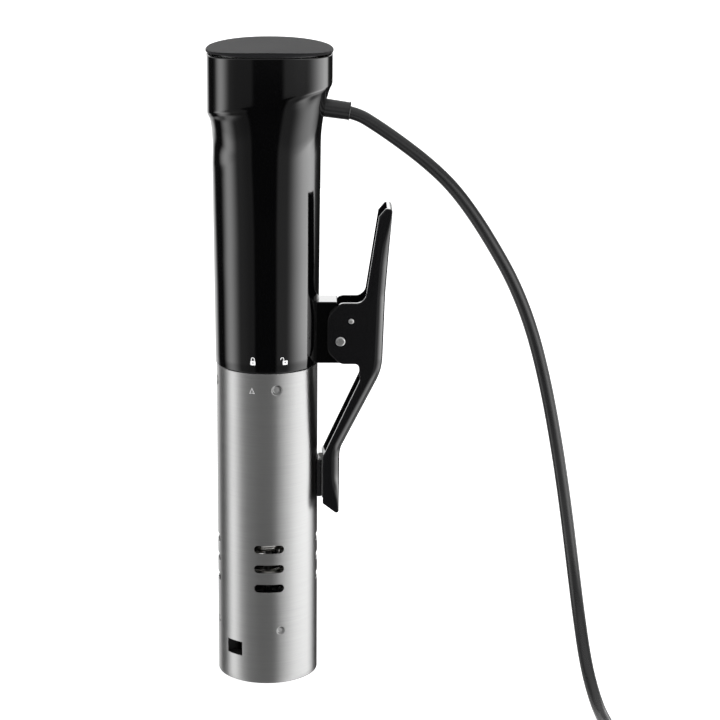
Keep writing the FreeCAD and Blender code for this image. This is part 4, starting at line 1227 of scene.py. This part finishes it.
# %% Tie
# The hull of round cords: in every direction, the point of the cord that lies farthest out.
centres = np.array([(coil_x - coil_radius - lay_height, lay_height + tie_lift),
                    (coil_x - coil_radius + lay_height, lay_height + tie_lift),
                    (coil_x - coil_radius, lay_height + tie_lift + layer_height)])
turn = np.linspace(0, 2 * math.pi, 96, endpoint=False)
outward = np.stack([np.cos(turn), np.sin(turn)], axis=1)
farthest = centres[np.argmax(outward @ centres.T, axis=1)]
rows = [(3.86, -4.5), (4.4, -4.5), (4.65, -4.25), (4.65, 4.25), (4.4, 4.5), (3.86, 4.5)]
strap = np.array([np.column_stack([farthest[:, 0] + r * outward[:, 0],
                                   np.full(len(turn), coil_y + y),
                                   farthest[:, 1] + r * outward[:, 1]]) for r, y in rows])
tie = grid_piece("strap", strap, along=True)
finish_piece(crisp(tie, 40), "housing", "rubber", finishes["rubber"], "cord_tie")
print("tie faces:", len(tie.data.polygons))

# %% Plug
# Radius along the plug, times a flattening 1 - 0.22 |cos|^3 and 24 flutes where the grip is.
plug_end, plug_face = np.array([102.0, -214.4, 18.4]), -32
reach = np.array([0.0, 0.6, 1.4, 3.0, 8.0, 12.5, 13.6, 14.4, 16.0, 18.0, 20.0, 22.0, 24.0, 26.0,
                  28.0, 30.0, 31.5, 32.0, 33.0, 34.0, 34.6, 35.6, 36.2, 37.2, 37.8, 38.8, 40.0])
size = np.array([15.6, 16.8, 17.5, 17.9, 17.9, 17.6, 17.0, 15.4, 14.2, 13.4, 12.7, 12.0, 11.3,
                 10.5, 9.6, 8.6, 7.6, 6.5, 6.1, 6.1, 5.4, 5.4, 6.0, 6.0, 5.3, 5.3, 5.0])
grip = smooth(reach, 14, 18) * (1 - smooth(reach, 26, 31))
flat = 1 - 0.22 * grip[:, None] * np.abs(np.cos(turn)) ** 3
flute = 1 - 0.035 * grip[:, None] * (0.5 + 0.5 * np.cos(24 * turn))
ring = size[:, None] * flat * flute
body = np.stack([plug_end[0] + plug_face + reach[:, None] + 0 * ring,
                 plug_end[1] + ring * np.cos(turn), plug_end[2] + ring * np.sin(turn)], axis=-1)
plug = crisp(grid_piece("plug", body, caps=True), 35)
finish_piece(plug, "housing", "rubber", finishes["rubber"], "plug_body")
print("plug done")

# %% Cord facts
[value * MM for value in boot_axis(boot_end)]

# %% [markdown]
# ## Light and floor
# Gloss black and brushed steel show almost nothing but what surrounds them.  Lamps would give
# them bright spots, so the studio is a world of soft boxes with dark gaps between: a broad one
# on the right, a narrower one on the left, a pale sky, and a strip behind for faces that look
# up.  Each box is a product of smooth steps of the azimuth (0 is the front, positive to the
# right) and the elevation.
#
# Seen from above, a polished upright wall mirrors only directions that point a little
# downwards, from about 8 to 30 degrees below the horizon, while brushed steel spreads its view
# upwards and downwards.  So that band holds the boxes for the gloss black, and the boxes for
# the steel lie above and below it.  Rays from the camera see plain white.

# %% Studio directions
world = bpy.data.worlds.new("studio")
bpy.context.scene.world = world
world.use_nodes = True
studio = Nodes(world.node_tree)
way = studio.node("ShaderNodeTexCoord", output="Generated")
parts = {axis: studio.node("ShaderNodeSeparateXYZ", inputs={0: way}, output=index)
         for index, axis in enumerate("XYZ")}
azimuth = studio.maths("ARCTAN2", parts["X"], 0 - parts["Y"]) * (180 / math.pi)
elevation = studio.maths("ARCSINE", parts["Z"]) * (180 / math.pi)
lowness = 0 - elevation
right = studio.step(azimuth, -2, 2)
behind = studio.maths("ABSOLUTE", azimuth)
print("world directions ready")

# %% [markdown]
# The lens looks down on the head by less than 11 degrees and on the body by more, so the
# elevation of a mirrored direction also tells the height at which a box shows.  The head is
# oval and the body round, and boxes with upright edges would break at the shoulder.  So
# `fall`, which grows from 0 to 3 below 11 degrees, brings the boxes' edges forward for the
# body, and `head_part`, which is 1 for the head alone, does so for the head's front edges.
# All numbers here are degrees and strengths.

# %% Boxes for the gloss black
fall = studio.maths("MINIMUM", studio.maths("MAXIMUM", -11 - elevation, 0), 3.0)
turned = behind + 4.2 * fall
head_part = studio.step(elevation, -10.8, -10.1)
ahead = turned + 21 * head_part
brighter_body = 1 + 0.15 * fall * (1 - studio.step(lowness, 15.6, 17))
gloss_right = (0.40 * studio.window(ahead, 31, 39, 70, 110)
               + 4.2 * studio.window(turned, 55, 104, 112, 154) * brighter_body)
gate = behind - 7 * studio.step(elevation, -12, -11.5) + 8 * studio.step(elevation, -17.5, -16.4)
gloss_right *= 1 - 0.92 * studio.step(gate, 130, 140)
gloss_left = ((0.22 * studio.step(ahead, 35, 42) + 0.14 * studio.step(turned, 45, 70))
              * (1 - studio.step(turned, 100, 124))
              + 3.4 * studio.window(turned + 9 * head_part, 70, 97, 98, 124)
              + 1.4 * studio.step(turned, 142, 160))
gloss = ((0.004 + gloss_right * right + gloss_left * (1 - right))
         * (1 - 0.28 * studio.step(lowness, 16.4, 20)))
print("world nodes so far:", len(world.node_tree.nodes))

# %% Boxes for the steel, and the world
steel = (0.66 + 2.9 * studio.window(azimuth, 10, 58, 66, 96)
         + 1.2 * studio.window(azimuth, -94, -78, -70, -44)
         + 0.3 * (1 - studio.step(azimuth, -120, -104)))
band = studio.window(elevation, -34, -26, -8, -6)
wide = studio.window(elevation, -60, -45, 10, 25)
light = (0.02 + gloss * band + steel * (1 - band) * wide
         + 0.9 * studio.step(elevation, 15, 50)
         + 2.6 * studio.window(elevation, 6, 10, 17, 22) * studio.step(behind, 140, 155))
camera_ray = studio.node("ShaderNodeLightPath", output="Is Camera Ray")
seen = studio.node("ShaderNodeBackground", inputs={"Color": (1, 1, 1, 1), "Strength": 1.0})
lit = studio.node("ShaderNodeBackground", inputs={"Color": (1, 1, 1, 1), "Strength": light})
both = studio.node("ShaderNodeMixShader", inputs={0: camera_ray, 1: lit, 2: seen})
studio.join(world.node_tree.nodes["World Output"], {"Surface": both})
print("world nodes:", len(world.node_tree.nodes))

# %% [markdown]
# The counter is white paper that glows a little, so that it ends in the same white as the
# background.  Gloss pieces don't mirror it, because the boxes alone should show in them.

# %% Floor
floor_half, floor_level = 4000, -0.2
floor = mesh_piece("floor", [(x * floor_half, y * floor_half, floor_level)
                             for x, y in ((-1, -1), (1, -1), (1, 1), (-1, 1))], [(0, 1, 2, 3)])
paper = Finish("paper", Emission_Color=(1, 1, 1, 1), Emission_Strength=0.85, Roughness=0.9,
               Specular_IOR_Level=0.0)
paper.wear(Base_Color=paper.blend(paper.noise(40.0, 2.0), (0.80, 0.80, 0.80),
                                  (0.82, 0.82, 0.82)))
floor.data.materials.append(paper.material)
floor.visible_glossy = False
bpy.context.scene.view_settings.view_transform = "Standard"
print("studio ready")
